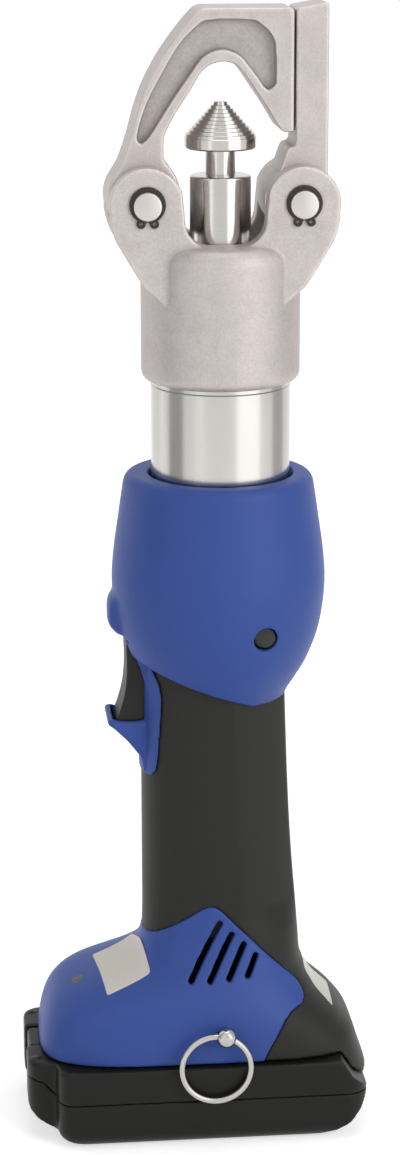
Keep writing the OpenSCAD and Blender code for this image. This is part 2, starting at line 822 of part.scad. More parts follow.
module return_spring() {
    color(steel)
        translate([0, 0, piston_z + piston_h + seat_gap])
            coil((ram_r + bore_r) / 2, spring_wire_r,
                head_z + spigot_len - guide_h - piston_z - piston_h - 2 * seat_gap, return_coil_count);
}

module punch() {
    step_h = punch_cone_h / punch_steps;
    step_r = (punch_r - punch_tip_r) / punch_steps;
    cone_z = neck_h + punch_ring_h;
    profile = concat([[0, -stud_len], [stud_r, -stud_len], [stud_r, 0], [neck_r, 0], [neck_r, neck_h],
        [punch_r, neck_h]],
        [for (i = [0 : punch_steps - 1]) each [[punch_r - i * step_r, cone_z + i * step_h],
            [punch_r - (i + step_slant_share) * step_r, cone_z + (i + 1) * step_h]]],
        [[punch_tip_r, cone_z + punch_cone_h], [0, cone_z + punch_cone_h]]);
    color(steel)
        translate([0, 0, shoulder_z])
            rotate_extrude()
                polygon(profile);
}

module pump_block() {
    color(alloy)
        difference() {
            union() {
                translate([0, 0, pump_z])
                    cylinder(r = pump_r, h = pump_h);
                translate([0, 0, pump_top_z])
                    cylinder(r = bore_r - seat_gap, h = pump_boss_h);
            }
            translate([0, 0, pump_z - cut_over])
                cylinder(r = pump_cavity_r, h = pump_cavity_h + cut_over);
            translate([0, 0, pump_z])
                cylinder(r = shaft_end_bearing_r + seat_gap,
                    h = pump_cavity_h + shaft_end_bearing_h + seat_gap);
            translate([0, 0, plunger_z])
                rod_x(plunger_r + seat_gap, 0, plunger_x + plunger_len + plunger_spring_len);
            translate([relief_x, 0, pump_top_z - relief_len])
                cylinder(r = relief_r + seat_gap, h = relief_len);
            for (s = [-1, 1])
                translate([pump_screw_x, s * (pump_r - pump_screw_depth / 2), pump_screw_z])
                    rod_y(pump_screw_r + seat_gap, -pump_screw_depth, pump_screw_depth);
        }
}

module pump_plunger() {
    color(steel)
        translate([0, 0, plunger_z])
            rod_x(plunger_r, plunger_x, plunger_x + plunger_len);
}

module plunger_spring() {
    color(steel)
        translate([plunger_x + plunger_len + seat_gap, 0, plunger_z])
            rotate([0, 90, 0])
                coil(plunger_r / 2, plunger_spring_wire, plunger_spring_len - 2 * seat_gap,
                    plunger_coil_count);
}

module relief_valve() {
    color(dark)
        translate([relief_x, 0, pump_top_z - relief_len])
            cylinder(r = relief_r, h = relief_len - seat_gap);
}

module oil_bladder() {
    r_in = cylinder_r + bladder_gap;
    color(black)
        translate([0, 0, pump_top_z])
            difference() {
                tube(r_in + bladder_t, r_in, bladder_h);
                translate([0, 0, bladder_wall])
                    tube(r_in + bladder_t - bladder_wall, r_in + bladder_wall, bladder_h - 2 * bladder_wall);
            }
}

module shaft_bearings() {
    color(steel) {
        translate([0, 0, ring_gear_top_z])
            tube(bearing_r, drive_shaft_r + seat_gap, cap_h);
        translate([0, 0, pump_z + pump_cavity_h])
            tube(shaft_end_bearing_r, shaft_end_r + seat_gap, shaft_end_bearing_h);
    }
}

module eccentric_shaft() {
    color(steel)
        union() {
            difference() {
                translate([0, 0, carrier_z])
                    cylinder(r = carrier_r, h = carrier_h);
                translate([0, 0, carrier_z - cut_over])
                    cylinder(r = shaft_r + slide_gap, h = cut_over + carrier_h / 2);
            }
            for (i = [0 : planet_count - 1])
                rotate(i * 360 / planet_count)
                    translate([planet_orbit, 0, gear_z])
                        cylinder(r = planet_pin_r, h = gear_face + carrier_h);
            translate([0, 0, carrier_z + carrier_h / 2])
                cylinder(r = drive_shaft_r, h = eccentric_z - carrier_z - carrier_h / 2);
            translate([-eccentric_offset, 0, eccentric_z])
                cylinder(r = eccentric_r, h = eccentric_h);
            translate([0, 0, eccentric_z])
                cylinder(r = shaft_end_r,
                    h = pump_z + pump_cavity_h + shaft_end_bearing_h - eccentric_z - seat_gap);
        }
}

module eccentric_bearing() {
    color(steel)
        translate([-eccentric_offset, 0, eccentric_z + lift_gap])
            tube(eccentric_r + eccentric_bearing_t, eccentric_r + seat_gap, eccentric_h - 2 * lift_gap);
}

module ring_gear() {
    color(dark)
        difference() {
            translate([0, 0, motor_top_z])
                cylinder(r = motor_r, h = ring_gear_top_z - motor_top_z);
            translate([0, 0, gear_z - lift_gap])
                rotate(180 / ring_teeth)
                    linear_extrude(gear_face + 2 * lift_gap)
                        polygon(gear_outline(ring_teeth, gear_ded, gear_add, -gear_backlash));
            translate([0, 0, motor_top_z - cut_over])
                cylinder(r = planet_orbit, h = gear_z - motor_top_z + cut_over);
            translate([0, 0, carrier_z])
                cylinder(r = carrier_r + slide_gap, h = ring_gear_top_z - carrier_z + cut_over);
        }
}

module planet_gear(i) {
    place = i * 360 / planet_count;
    color(steel)
        rotate(place)
            translate([planet_orbit, 0, gear_z])
                difference() {
                    rotate(180 + 180 / planet_teeth)
                        linear_extrude(gear_face)
                            polygon(gear_outline(planet_teeth, gear_add, gear_ded,
                                gear_backlash));
                    translate([0, 0, -cut_over])
                        cylinder(r = planet_pin_r + seat_gap, h = gear_face + 2 * cut_over);
                }
}

module planet_gear_1() {
    planet_gear(0);
}

module planet_gear_2() {
    planet_gear(1);
}

module planet_gear_3() {
    planet_gear(2);
}

module motor_pinion() {
    color(steel)
        translate([0, 0, gear_z])
            difference() {
                linear_extrude(gear_face)
                    polygon(gear_outline(pinion_teeth, gear_add, gear_ded, gear_backlash));
                translate([0, 0, -cut_over])
                    cylinder(r = shaft_r, h = gear_face + 2 * cut_over);
            }
}

module motor_rotor() {
    core = motor_len * rotor_core_share;
    color(copper)
        union() {
            translate([0, 0, motor_z - endcap_h / 2])
                cylinder(r = shaft_r, h = gear_z + gear_face - motor_z + endcap_h / 2);
            translate([0, 0, motor_z + (motor_len - core) / 2])
                cylinder(r = rotor_r, h = core);
            translate([0, 0, motor_z + can_wall])
                cylinder(r = commutator_r, h = (motor_len - core) / 2);
        }
}

module motor_can() {
    color(steel)
        difference() {
            translate([0, 0, motor_z])
                cylinder(r = motor_r, h = motor_len);
            translate([0, 0, motor_z - cut_over])
                cylinder(r = motor_r - can_wall, h = motor_len - can_wall + cut_over);
            translate([0, 0, motor_z])
                cylinder(r = shaft_r + seat_gap, h = motor_len + cut_over);
        }
}

module motor_magnets() {
    core = motor_len * rotor_core_share;
    r_out = motor_r - can_wall;
    color(dark)
        translate([0, 0, motor_z + (motor_len - core) / 2])
            difference() {
                tube(r_out - seat_gap / 2, r_out - magnet_t, core);
                translate([-magnet_t, -cut_far, -cut_over])
                    cube([2 * magnet_t, 2 * cut_far, core + 2 * cut_over]);
            }
}

module motor_endcap() {
    color(black)
        difference() {
            translate([0, 0, motor_z - endcap_h])
                cylinder(r = motor_r, h = endcap_h);
            translate([0, 0, motor_z - endcap_h / 2 - seat_gap])
                cylinder(r = shaft_r + seat_gap, h = endcap_h);
        }
}

module gearbox_cap() {
    color(alloy)
        difference() {
            union() {
                translate([0, 0, ring_gear_top_z])
                    cylinder(r = motor_r, h = cap_h);
                translate([0, 0, cap_top_z])
                    cylinder(r = adapter_r, h = pump_z - cap_top_z);
            }
            translate([0, 0, ring_gear_top_z - cut_over])
                cylinder(r = bearing_r + seat_gap, h = cap_h + 2 * cut_over);
            translate([0, 0, cap_top_z])
                cylinder(r = adapter_r - adapter_wall, h = pump_z - cap_top_z + cut_over);
        }
}

module trigger() {
    color(black)
        difference() {
            slab(-trigger_w / 2, trigger_w / 2)
                polygon(concat([[-trigger_back, trigger_z + trigger_back_h]],
                    [for (s = trigger_shares) [-s[0] * grip_front, trigger_z + s[1] * trigger_h]],
                    [[-trigger_back, trigger_z]]));
            translate([0, 0, trigger_z + trigger_spring_rise])
                rod_x(trigger_spring_room, -trigger_back - trigger_pocket, -trigger_back + cut_over);
        }
}

module trigger_spring() {
    color(steel)
        translate([-trigger_back - trigger_pocket + seat_gap, 0, trigger_z + trigger_spring_rise])
            rotate([0, 90, 0])
                coil(trigger_spring_r, trigger_spring_wire,
                    trigger_back + trigger_pocket - switch_front - 2 * seat_gap, trigger_coil_count);
}

module trigger_switch() {
    color(dark)
        difference() {
            translate([-switch_front, -switch_half_w, trigger_z + switch_low])
                cube([switch_front - adapter_r + adapter_wall, 2 * switch_half_w, switch_h]);
            translate([0, 0, trigger_z - cut_over])
                cylinder(r = adapter_r + seat_gap, h = trigger_h + switch_h);
        }
}

module trigger_slot() {
    translate([-cut_far, -slot_half_w, trigger_z - slide_gap])
        cube([cut_far - switch_front + trigger_travel, 2 * slot_half_w, trigger_h + 2 * slide_gap]);
}

module trigger_guard() {
    back = guard_back_share * grip_front;
    low = trigger_z - guard_low;
    color(blue)
        difference() {
            union() {
                intersection() {
                    difference() {
                        envelope(-guard_proud, 0, 0, guard_run);
                        envelope(grip_recess, 0, cut_over, guard_run);
                    }
                    slab(-cut_far, cut_far)
                        polygon([[-cut_far, low], [-grip_front, low], [-back, trigger_z],
                            [-back, cover_z + (back + cover_cut_x) * cover_cut_share],
                            [-cut_far, cover_z + (cut_far + cover_cut_x) * cover_cut_share]]);
                }
                difference() {
                    slab(-guard_half_w, guard_half_w)
                        polygon([for (s = guard_shares) [-s[0] * grip_front, trigger_z + s[1] * guard_h]]);
                    envelope(grip_recess, 0, cut_over, guard_run);
                }
            }
            trigger_slot();
        }
}

module control_board() {
    color(board) {
        translate([-board_front, -board_half_w, foot_z + dock_plate_h])
            cube([board_front + board_rear, 2 * board_half_w, board_t]);
        translate([-board_front / 2, -board_half_w / 2, foot_z + dock_plate_h + board_t - seat_gap])
            cube([board_half_w, board_half_w, chip_h]);
    }
}

module status_lamp() {
    color(dark)
        intersection() {
            translate([lamp_x, lamp_y, foot_z + foot_h / 2 - lamp_low])
                cylinder(r = lamp_r, h = foot_h);
            envelope(-plate_t / 2, 0, 0, plate_run);
        }
}

module cover_outside(inset, top_z) {
    rise = [for (s = cover_shares) [s[0] * cover_r - inset, cover_z + s[1] * cover_h]];
    translate([cover_shift, 0, 0])
        rotate_extrude()
            intersection() {
                polygon(concat([[0, cover_z + cover_shares[0][1] * cover_h]], spline(rise, curve_steps),
                    [[0, collar_z]]));
                translate([0, cover_z - cut_far])
                    square([cut_far, top_z - cover_z + cut_far]);
            }
}

module cover_cut() {
    slab(-cut_far, cut_far)
        polygon([[-cut_far, cover_z + (cut_far + cover_cut_x) * cover_cut_share], [cover_cut_x, cover_z],
            [cut_far, cover_z], [cut_far, cover_z - cut_far], [-cut_far, cover_z - cut_far]]);
}

module cover_half(side) {
    color(blue)
        difference() {
            intersection() {
                union() {
                    difference() {
                        union() {
                            cover_outside(0, collar_z);
                            slab(-hood_half_w, hood_half_w)
                                polygon([for (s = hood_shares) [-s[0] * cover_r, cover_z + s[1] * cover_h]]);
                        }
                        difference() {
                            cover_outside(cover_wall, collar_z - cover_top);
                            translate([-cut_far, -cut_far, cover_z - cut_far])
                                cube([2 * cut_far, 2 * cut_far, cut_far + cover_cavity_share * cover_h]);
                        }
                        translate([0, 0, collar_z - 2 * cover_top])
                            cylinder(r = cylinder_r + collar_gap, h = 3 * cover_top);
                    }
                    intersection() {
                        translate([pump_screw_x, 0, pump_screw_z])
                            side_rod(side, recess_boss_r, recess_boss_in, cover_r);
                        cover_outside(cover_wall / 2, collar_z);
                    }
                }
                half_space(side);
            }
            cover_cut();
            translate([0, 0, pump_z - slide_gap - cut_over])
                cylinder(r = pump_r + slide_gap, h = pump_h + cut_over);
            translate([0, 0, cover_z])
                cylinder(r = adapter_r + slide_gap, h = pump_z - cover_z);
            envelope(grip_recess, 0, cut_over, cover_run);
            trigger_slot();
            translate([pump_screw_x, 0, pump_screw_z]) {
                rod_y(pump_screw_r + seat_gap, -cut_far, cut_far);
                side_rod(side, recess_r, recess_floor, cut_far);
            }
        }
}

module cover_left() {
    cover_half(-1);
}

module cover_right() {
    cover_half(1);
}

module zone() {
    slab(-cut_far, cut_far)
        polygon([for (s = zone_shares)
            [s[0] * ((s[0] < 0) ? foot_front : foot_rear), foot_z + s[1] * foot_h]]);
}

// Bosses of the housing screws on one side
module screw_bosses(side) {
    for (p = screw_places)
        translate([p[0], 0, p[1]])
            side_rod(side, screw_boss_r, 0, cut_far);
}

module screw_holes(side) {
    for (p = screw_places)
        translate([p[0], 0, p[1]]) {
            rod_y(screw_r + seat_gap, -screw_end, cut_far);
            rod_y(screw_head_r + slide_gap, p[2] - screw_head_h, cut_far);
        }
}

// Half shell of the grip and foot with its screw bosses and any ribs, open at both ends
module half_shell(side, inset, run) {
    difference() {
        union() {
            difference() {
                envelope(inset, side, 0, run);
                envelope(inset + shell_wall, 0, cut_over, run);
            }
            intersection() {
                union() {
                    screw_bosses(side);
                    children();
                }
                envelope(inset + shell_wall / 2, side, 0, run);
            }
        }
        screw_holes(side);
    }
}

module motor_ribs() {
    for (share = rib_shares)
        translate([0, 0, motor_z + share * motor_len])
            difference() {
                translate([-cut_far, -cut_far, 0])
                    cube([2 * cut_far, 2 * cut_far, shell_wall]);
                translate([0, 0, -cut_over])
                    cylinder(r = motor_r + seat_gap, h = shell_wall + 2 * cut_over);
            }
}

module grip_half(side) {
    color(black)
        difference() {
            half_shell(side, grip_recess, all_run)
                motor_ribs();
            zone();
            trigger_slot();
        }
}

module grip_left() {
    grip_half(-1);
}

module grip_right() {
    grip_half(1);
}

module foot_half(side) {
    color(blue)
        difference() {
            intersection() {
                half_shell(side, 0, foot_run);
                zone();
            }
            for (v = vent_shares)
                slab(-cut_far, cut_far)
                    vent_outline(v);
            translate([lamp_x, lamp_y, foot_z])
                cylinder(r = lamp_r + seat_gap, h = foot_h);
            translate([stud_x, 0, stud_z])
                rod_y(stud_shank_r + seat_gap, -cut_far, -foot_half_w / 2);
        }
}

module vent_outline(v) {
    a = [v[0] * foot_front, foot_z + v[1] * foot_h];
    b = [v[2] * foot_front, foot_z + v[3] * foot_h];
    run = norm(b - a);
    for (p = [a, b])
        translate(p)
            circle(d = vent_w, $fn = 24);
    translate(a)
        rotate(atan2(b[1] - a[1], b[0] - a[0]))
            translate([0, -vent_w / 2])
                square([run, vent_w]);
}

module foot_left() {
    foot_half(-1);
}

module foot_right() {
    foot_half(1);
}

// Plan of the foot set in by a given amount
module foot_plan(inset) {
    polygon([for (p = shell_ring(body_rings[0], inset, 0, 360, loft_sides)) [p[0], p[1]]]);
}

// Tee rail under the dock, grown by a given play, with its neck up to a given rise
module tee_rail(x_low, x_high, play, rise) {
    translate([x_low, -rail_neck - play, foot_z - rail_neck_h - play])
        cube([x_high - x_low, 2 * (rail_neck + play), rail_neck_h + rise + play]);
    translate([x_low, -rail_head - play, foot_z - rail_neck_h - rail_head_h - play])
        cube([x_high - x_low, 2 * (rail_head + play), rail_head_h + 2 * play]);
}

module battery_dock() {
    color(black)
        union() {
            intersection() {
                translate([0, 0, foot_z])
                    linear_extrude(dock_plate_h)
                        foot_plan(shell_wall + grip_recess + dock_inset);
                translate([-cut_far, -cut_far, foot_z])
                    cube([cut_far + dock_plate_rear, 2 * cut_far, dock_plate_h]);
            }
            tee_rail(-rail_front, dock_plate_rear, 0, dock_plate_h / 2);
            tee_rail(-rail_front, lip_in + rail_gap + cut_over, 0, -seat_gap);
            intersection() {
                translate([lip_in + rail_gap, -cut_far, foot_z - lip_drop])
                    cube([cut_far, 2 * cut_far, lip_drop]);
                translate([0, 0, foot_z - lip_drop])
                    linear_extrude(lip_drop)
                        battery_plan();
            }
        }
}

module dock_terminals() {
    color(copper)
        for (y = terminal_places)
            translate([-rail_front - terminal_len, y - terminal_w / 2, foot_z - terminal_h])
                cube([terminal_len, terminal_w, terminal_h]);
}

module housing_screws() {
    color(steel)
        for (p = screw_places)
            translate([p[0], 0, p[1]]) {
                rod_y(screw_r, -screw_end + slide_gap, p[2] - screw_head_h);
                rod_y(screw_head_r, p[2] - screw_head_h, p[2]);
            }
}

module pump_screws() {
    color(dark)
        for (s = [-1, 1])
            translate([pump_screw_x, 0, pump_screw_z]) {
                side_rod(s, pump_screw_r, pump_r - pump_screw_depth, recess_floor);
                side_rod(s, pump_screw_head_r, recess_floor, recess_floor + pump_screw_head_h);
            }
}

module rating_plate() {
    color(pale)
        intersection() {
            difference() {
                envelope(-plate_t, 0, 0, plate_run);
                envelope(0, 0, cut_over, plate_run);
            }
            translate([0, 0, foot_z])
                linear_extrude(foot_h)
                    polygon(spread(plate_shares, foot_front, foot_half_w));
        }
}

module rear_label() {
    color(pale)
        intersection() {
            difference() {
                envelope(grip_recess - plate_t, 0, 0, label_run);
                envelope(grip_recess, 0, cut_over, label_run);
            }
            translate([0, 0, foot_z])
                linear_extrude(foot_h)
                    polygon(spread(label_shares, foot_rear, foot_half_w));
        }
}

module ring_stud() {
    run = -foot_half_w + stud_inner - ring_y;
    color(steel)
        translate([stud_x, ring_y, stud_z])
            difference() {
                rotate([-90, 0, 0])
                    rotate_extrude()
                        intersection() {
                            union() {
                                circle(r = bead_r);
                                translate([-stud_shank_r, 0])
                                    square([2 * stud_shank_r, run]);
                            }
                            translate([0, -bead_r])
                                square([bead_r, bead_r + run]);
                        }
                rotate([0, ring_lean, 0])
                    rod_x(ring_wire_r + stud_hole_gap, -2 * bead_r, 2 * bead_r);
            }
}

module hang_ring() {
    color(steel)
        translate([stud_x, ring_y, stud_z])
            rotate([0, ring_lean, 0])
                translate([0, 0, -ring_r])
                    rotate([90, 0, 0])
                        rotate_extrude()
                            translate([ring_r, 0])
                                circle(r = ring_wire_r, $fn = 32);
}

// Arc of points round a centre
function arc(c, r, from, to) = [for (k = [0 : corner_steps])
    let (q = from + (to - from) * k / corner_steps) c + r * [cos(q), sin(q)]];

// Outline of the battery seen from above, set in by a given amount
function battery_ring(inset) = let (rc = battery_corner, rn = battery_nose_corner,
    main_y = battery_half_w - rc, nose_y = battery_nose_half_w - rn,
    half = concat(arc([battery_rear - rc, main_y], rc - inset, 0, 90),
        arc([rc - battery_main_front, main_y], rc - inset, 90, 180),
        [[inset - battery_main_front, battery_nose_half_w - inset]],
        arc([rn - battery_front, nose_y], rn - inset, 90, 180)), last = len(half) - 1)
    concat(half, [for (i = [last : -1 : 0]) [half[i][0], -half[i][1]]]);

module battery_plan() {
    polygon(battery_ring(0));
}

// Battery body up to its seam, with a rounded lower edge
module battery_block() {
    rings = concat([for (k = [0 : edge_steps]) let (q = 90 * k / edge_steps)
        [battery_edge * (1 - sin(q)), battery_edge * (1 - cos(q))]], [[0, battery_seam]]);
    count = len(battery_ring(0));
    last = len(rings) - 1;
    points = [for (r = rings) for (p = battery_ring(r[0])) [p[0], p[1], r[1]]];
    walls = [for (i = [0 : last - 1], k = [0 : count - 1])
        let (j = (k + 1) % count, p = i * count, q = p + count)
        each [[p + k, q + k, q + j], [p + k, q + j, p + j]]];
    hub = len(points);
    hubs = [[0, 0, 0], [0, 0, battery_seam]];
    bottom = [for (k = [0 : count - 1]) [k, (k + 1) % count, hub]];
    top = [for (k = [0 : count - 1]) [last * count + (k + 1) % count, last * count + k, hub + 1]];
    polyhedron(points = concat(points, hubs), faces = concat(walls, bottom, top));
}

module cell_room() {
    room = cell_count * (2 * cell_r + cell_gap) + cell_gap;
    translate([-room / 2 + (battery_rear - battery_main_front) / 2, -cell_len / 2 - cell_gap, battery_floor])
        cube([room, cell_len + 2 * cell_gap, 2 * cell_r + 2 * cell_gap]);
}

module battery_notch() {
    translate([-battery_front - cut_over, -notch_half_w, notch_low])
        cube([notch_depth + cut_over, 2 * notch_half_w, battery_h]);
}

module battery_rear_cut() {
    translate([lip_in, -cut_far, foot_z - lip_drop - rail_gap])
        cube([cut_far, 2 * cut_far, cut_far]);
}

module battery_case_lower() {
    color(black)
        difference() {
            battery_block();
            cell_room();
            battery_notch();
            battery_rear_cut();
        }
}

module battery_case_upper() {
    color(black)
        difference() {
            translate([0, 0, battery_seam])
                linear_extrude(battery_h - battery_seam)
                    battery_plan();
            cell_room();
            battery_notch();
            battery_rear_cut();
            tee_rail(-slot_front, cut_far, rail_gap, dock_plate_h / 2);
        }
}

module battery_cells() {
    pitch = 2 * cell_r + cell_gap;
    color(steel)
        for (i = [0 : cell_count - 1])
            translate([(battery_rear - battery_main_front) / 2 + (i - (cell_count - 1) / 2) * pitch, 0,
                battery_floor + cell_r + seat_gap])
                rod_y(cell_r, -cell_len / 2, cell_len / 2);
}

module battery_terminals() {
    color(copper)
        for (y = terminal_places, s = [-1, 1])
            translate([-slot_front, y + s * terminal_side - terminal_w / 2,
                foot_z - rail_neck_h - rail_head_h - rail_gap])
                cube([terminal_len / 2, terminal_w, terminal_h]);
}

module battery_button() {
    button_x = -battery_front + notch_depth - button_travel - button_gap - button_depth;
    color(black)
        translate([button_x, -notch_half_w + button_gap, notch_low + button_gap])
            cube([button_depth, 2 * (notch_half_w - button_gap), battery_h - notch_low - 2 * button_gap]);
}

head_body();
yoke();
latch();
yoke_pin();
latch_pin();
pin_circlips();
head_retaining_ring();
hydraulic_cylinder();
rod_guide();
ram_wiper();
ram();
piston_seal();
return_spring();
punch();
pump_block();
pump_plunger();
plunger_spring();
relief_valve();
oil_bladder();
shaft_bearings();
eccentric_shaft();
eccentric_bearing();
ring_gear();
planet_gear_1();
planet_gear_2();
planet_gear_3();
motor_pinion();
motor_rotor();
motor_can();
motor_magnets();
motor_endcap();
gearbox_cap();
trigger();
trigger_spring();
trigger_switch();
trigger_guard();
control_board();
status_lamp();
cover_left();
cover_right();
grip_left();
grip_right();
foot_left();
foot_right();
battery_dock();
dock_terminals();
housing_screws();
pump_screws();
rating_plate();
rear_label();
ring_stud();
hang_ring();
battery_case_lower();
battery_case_upper();
battery_cells();
battery_terminals();
battery_button();
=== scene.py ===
"""Looks of a battery hydraulic crimping tool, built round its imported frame."""

import json
import logging
import math
from dataclasses import dataclass, field
from enum import Enum
from itertools import product
from typing import Callable, Sequence

import bmesh
import bpy
from mathutils import Matrix, Vector


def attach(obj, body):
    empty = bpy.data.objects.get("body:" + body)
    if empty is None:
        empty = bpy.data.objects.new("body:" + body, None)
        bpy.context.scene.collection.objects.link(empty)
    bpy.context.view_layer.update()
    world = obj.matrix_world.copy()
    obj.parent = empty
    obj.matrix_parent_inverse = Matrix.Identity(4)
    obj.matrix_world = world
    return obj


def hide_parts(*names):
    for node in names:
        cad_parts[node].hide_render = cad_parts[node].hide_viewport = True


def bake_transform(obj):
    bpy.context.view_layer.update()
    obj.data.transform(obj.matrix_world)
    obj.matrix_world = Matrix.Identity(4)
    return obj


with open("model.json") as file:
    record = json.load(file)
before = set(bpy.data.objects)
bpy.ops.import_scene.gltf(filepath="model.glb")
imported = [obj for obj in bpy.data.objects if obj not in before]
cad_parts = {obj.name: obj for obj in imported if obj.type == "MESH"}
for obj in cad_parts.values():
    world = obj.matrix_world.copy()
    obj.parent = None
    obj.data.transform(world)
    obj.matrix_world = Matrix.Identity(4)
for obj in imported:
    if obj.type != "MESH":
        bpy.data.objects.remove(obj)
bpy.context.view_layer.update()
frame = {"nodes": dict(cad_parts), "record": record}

LOG = logging.getLogger("crimping_tool")
MM = 0.001
FAR = 60.0  # half width of a cutter that runs through the tool
WIDE = 90.0  # reach of a cutter past the ends of the foot
MERGE = 1e-4  # corners closer than this are one, in millimetres
TINY = 1e-6  # a length below this counts as nothing
SHARP = 35.0  # edges over this angle stay sharp, in degrees
WHITE = (1, 1, 1, 1)
HALVES = ((-1, "left"), (1, "right"))
Piece = bpy.types.Object
Point2 = tuple[float, float]
Colour = tuple[float, float, float]


def spline(points: Sequence[Sequence[float]], steps: int, closed: bool = False) -> list[tuple[float, ...]]:
    """Pass a smooth curve through points.

    Args:
        points: Points of any dimension.
        steps: Pieces between two points.
        closed: Whether the curve returns to its start.

    Returns:
        The points of the curve.
    """
    count = len(points)
    spans = count if closed else count - 1

    def pick(i: int) -> Sequence[float]:
        """Give a point, or the nearest end."""
        return points[i % count] if closed else points[min(max(i, 0), count - 1)]

    curve: list[tuple[float, ...]] = []
    for i in range(spans):
        a, b, c, d = pick(i - 1), pick(i), pick(i + 1), pick(i + 2)
        for k in range(steps):
            t = k / steps
            curve.append(tuple(
                0.5 * (2 * q + (r - p) * t + (2 * p - 5 * q + 4 * r - s) * t * t
                       + (3 * q - p - 3 * r + s) * t ** 3)
                for p, q, r, s in zip(a, b, c, d)))
    if not closed:
        curve.append(tuple(points[-1]))
    return curve


def arc(centre: Point2, radius: float, start: float, end: float, steps: int) -> list[Point2]:
    """Give the points of an arc.

    Args:
        centre: Middle of the arc.
        radius: Radius of the arc.
        start: First angle in degrees.
        end: Last angle in degrees.
        steps: Pieces of the arc.

    Returns:
        The points from the first angle to the last.
    """
    turns = [math.radians(start + (end - start) * k / steps) for k in range(steps + 1)]
    return [(centre[0] + radius * math.cos(q), centre[1] + radius * math.sin(q)) for q in turns]


def rounded(points: Sequence[Point2], radius: float, steps: int = 5, most: float = 0.45) -> list[Point2]:
    """Round the corners of a closed outline.

    Args:
        points: Corners of the outline.
        radius: How far from a corner its rounding starts.
        steps: Pieces of each rounding.
        most: Share of an edge that a rounding may take.

    Returns:
        The rounded outline.
    """
    outline: list[Point2] = []
    for i, corner in enumerate(points):
        here = Vector(corner)
        before, after = Vector(points[i - 1]) - here, Vector(points[(i + 1) % len(points)]) - here
        start = here + before * min(radius / before.length, most)
        end = here + after * min(radius / after.length, most)
        for k in range(steps + 1):
            t = k / steps
            p = start * (1 - t) ** 2 + here * 2 * t * (1 - t) + end * t * t
            outline.append((p.x, p.y))
    return outline


def spread(shares: Sequence[Point2], scale: Point2, start: Point2 = (0, 0)) -> list[Point2]:
    """Turn shares into points."""
    return [(start[0] + x * scale[0], start[1] + z * scale[1]) for x, z in shares]


def clamp(share: float) -> float:
    """Keep a share between 0 and 1."""
    return min(max(share, 0), 1)


def linked(bm: bmesh.types.BMesh, name: str) -> Piece:
    """Make an object of a mesh and link it to the scene.

    Args:
        bm: The mesh, which is used up.
        name: Name of the object.

    Returns:
        The object.
    """
    mesh = bpy.data.meshes.new(name)
    bm.to_mesh(mesh)
    bm.free()
    made = bpy.data.objects.new(name, mesh)
    bpy.context.scene.collection.objects.link(made)
    return made


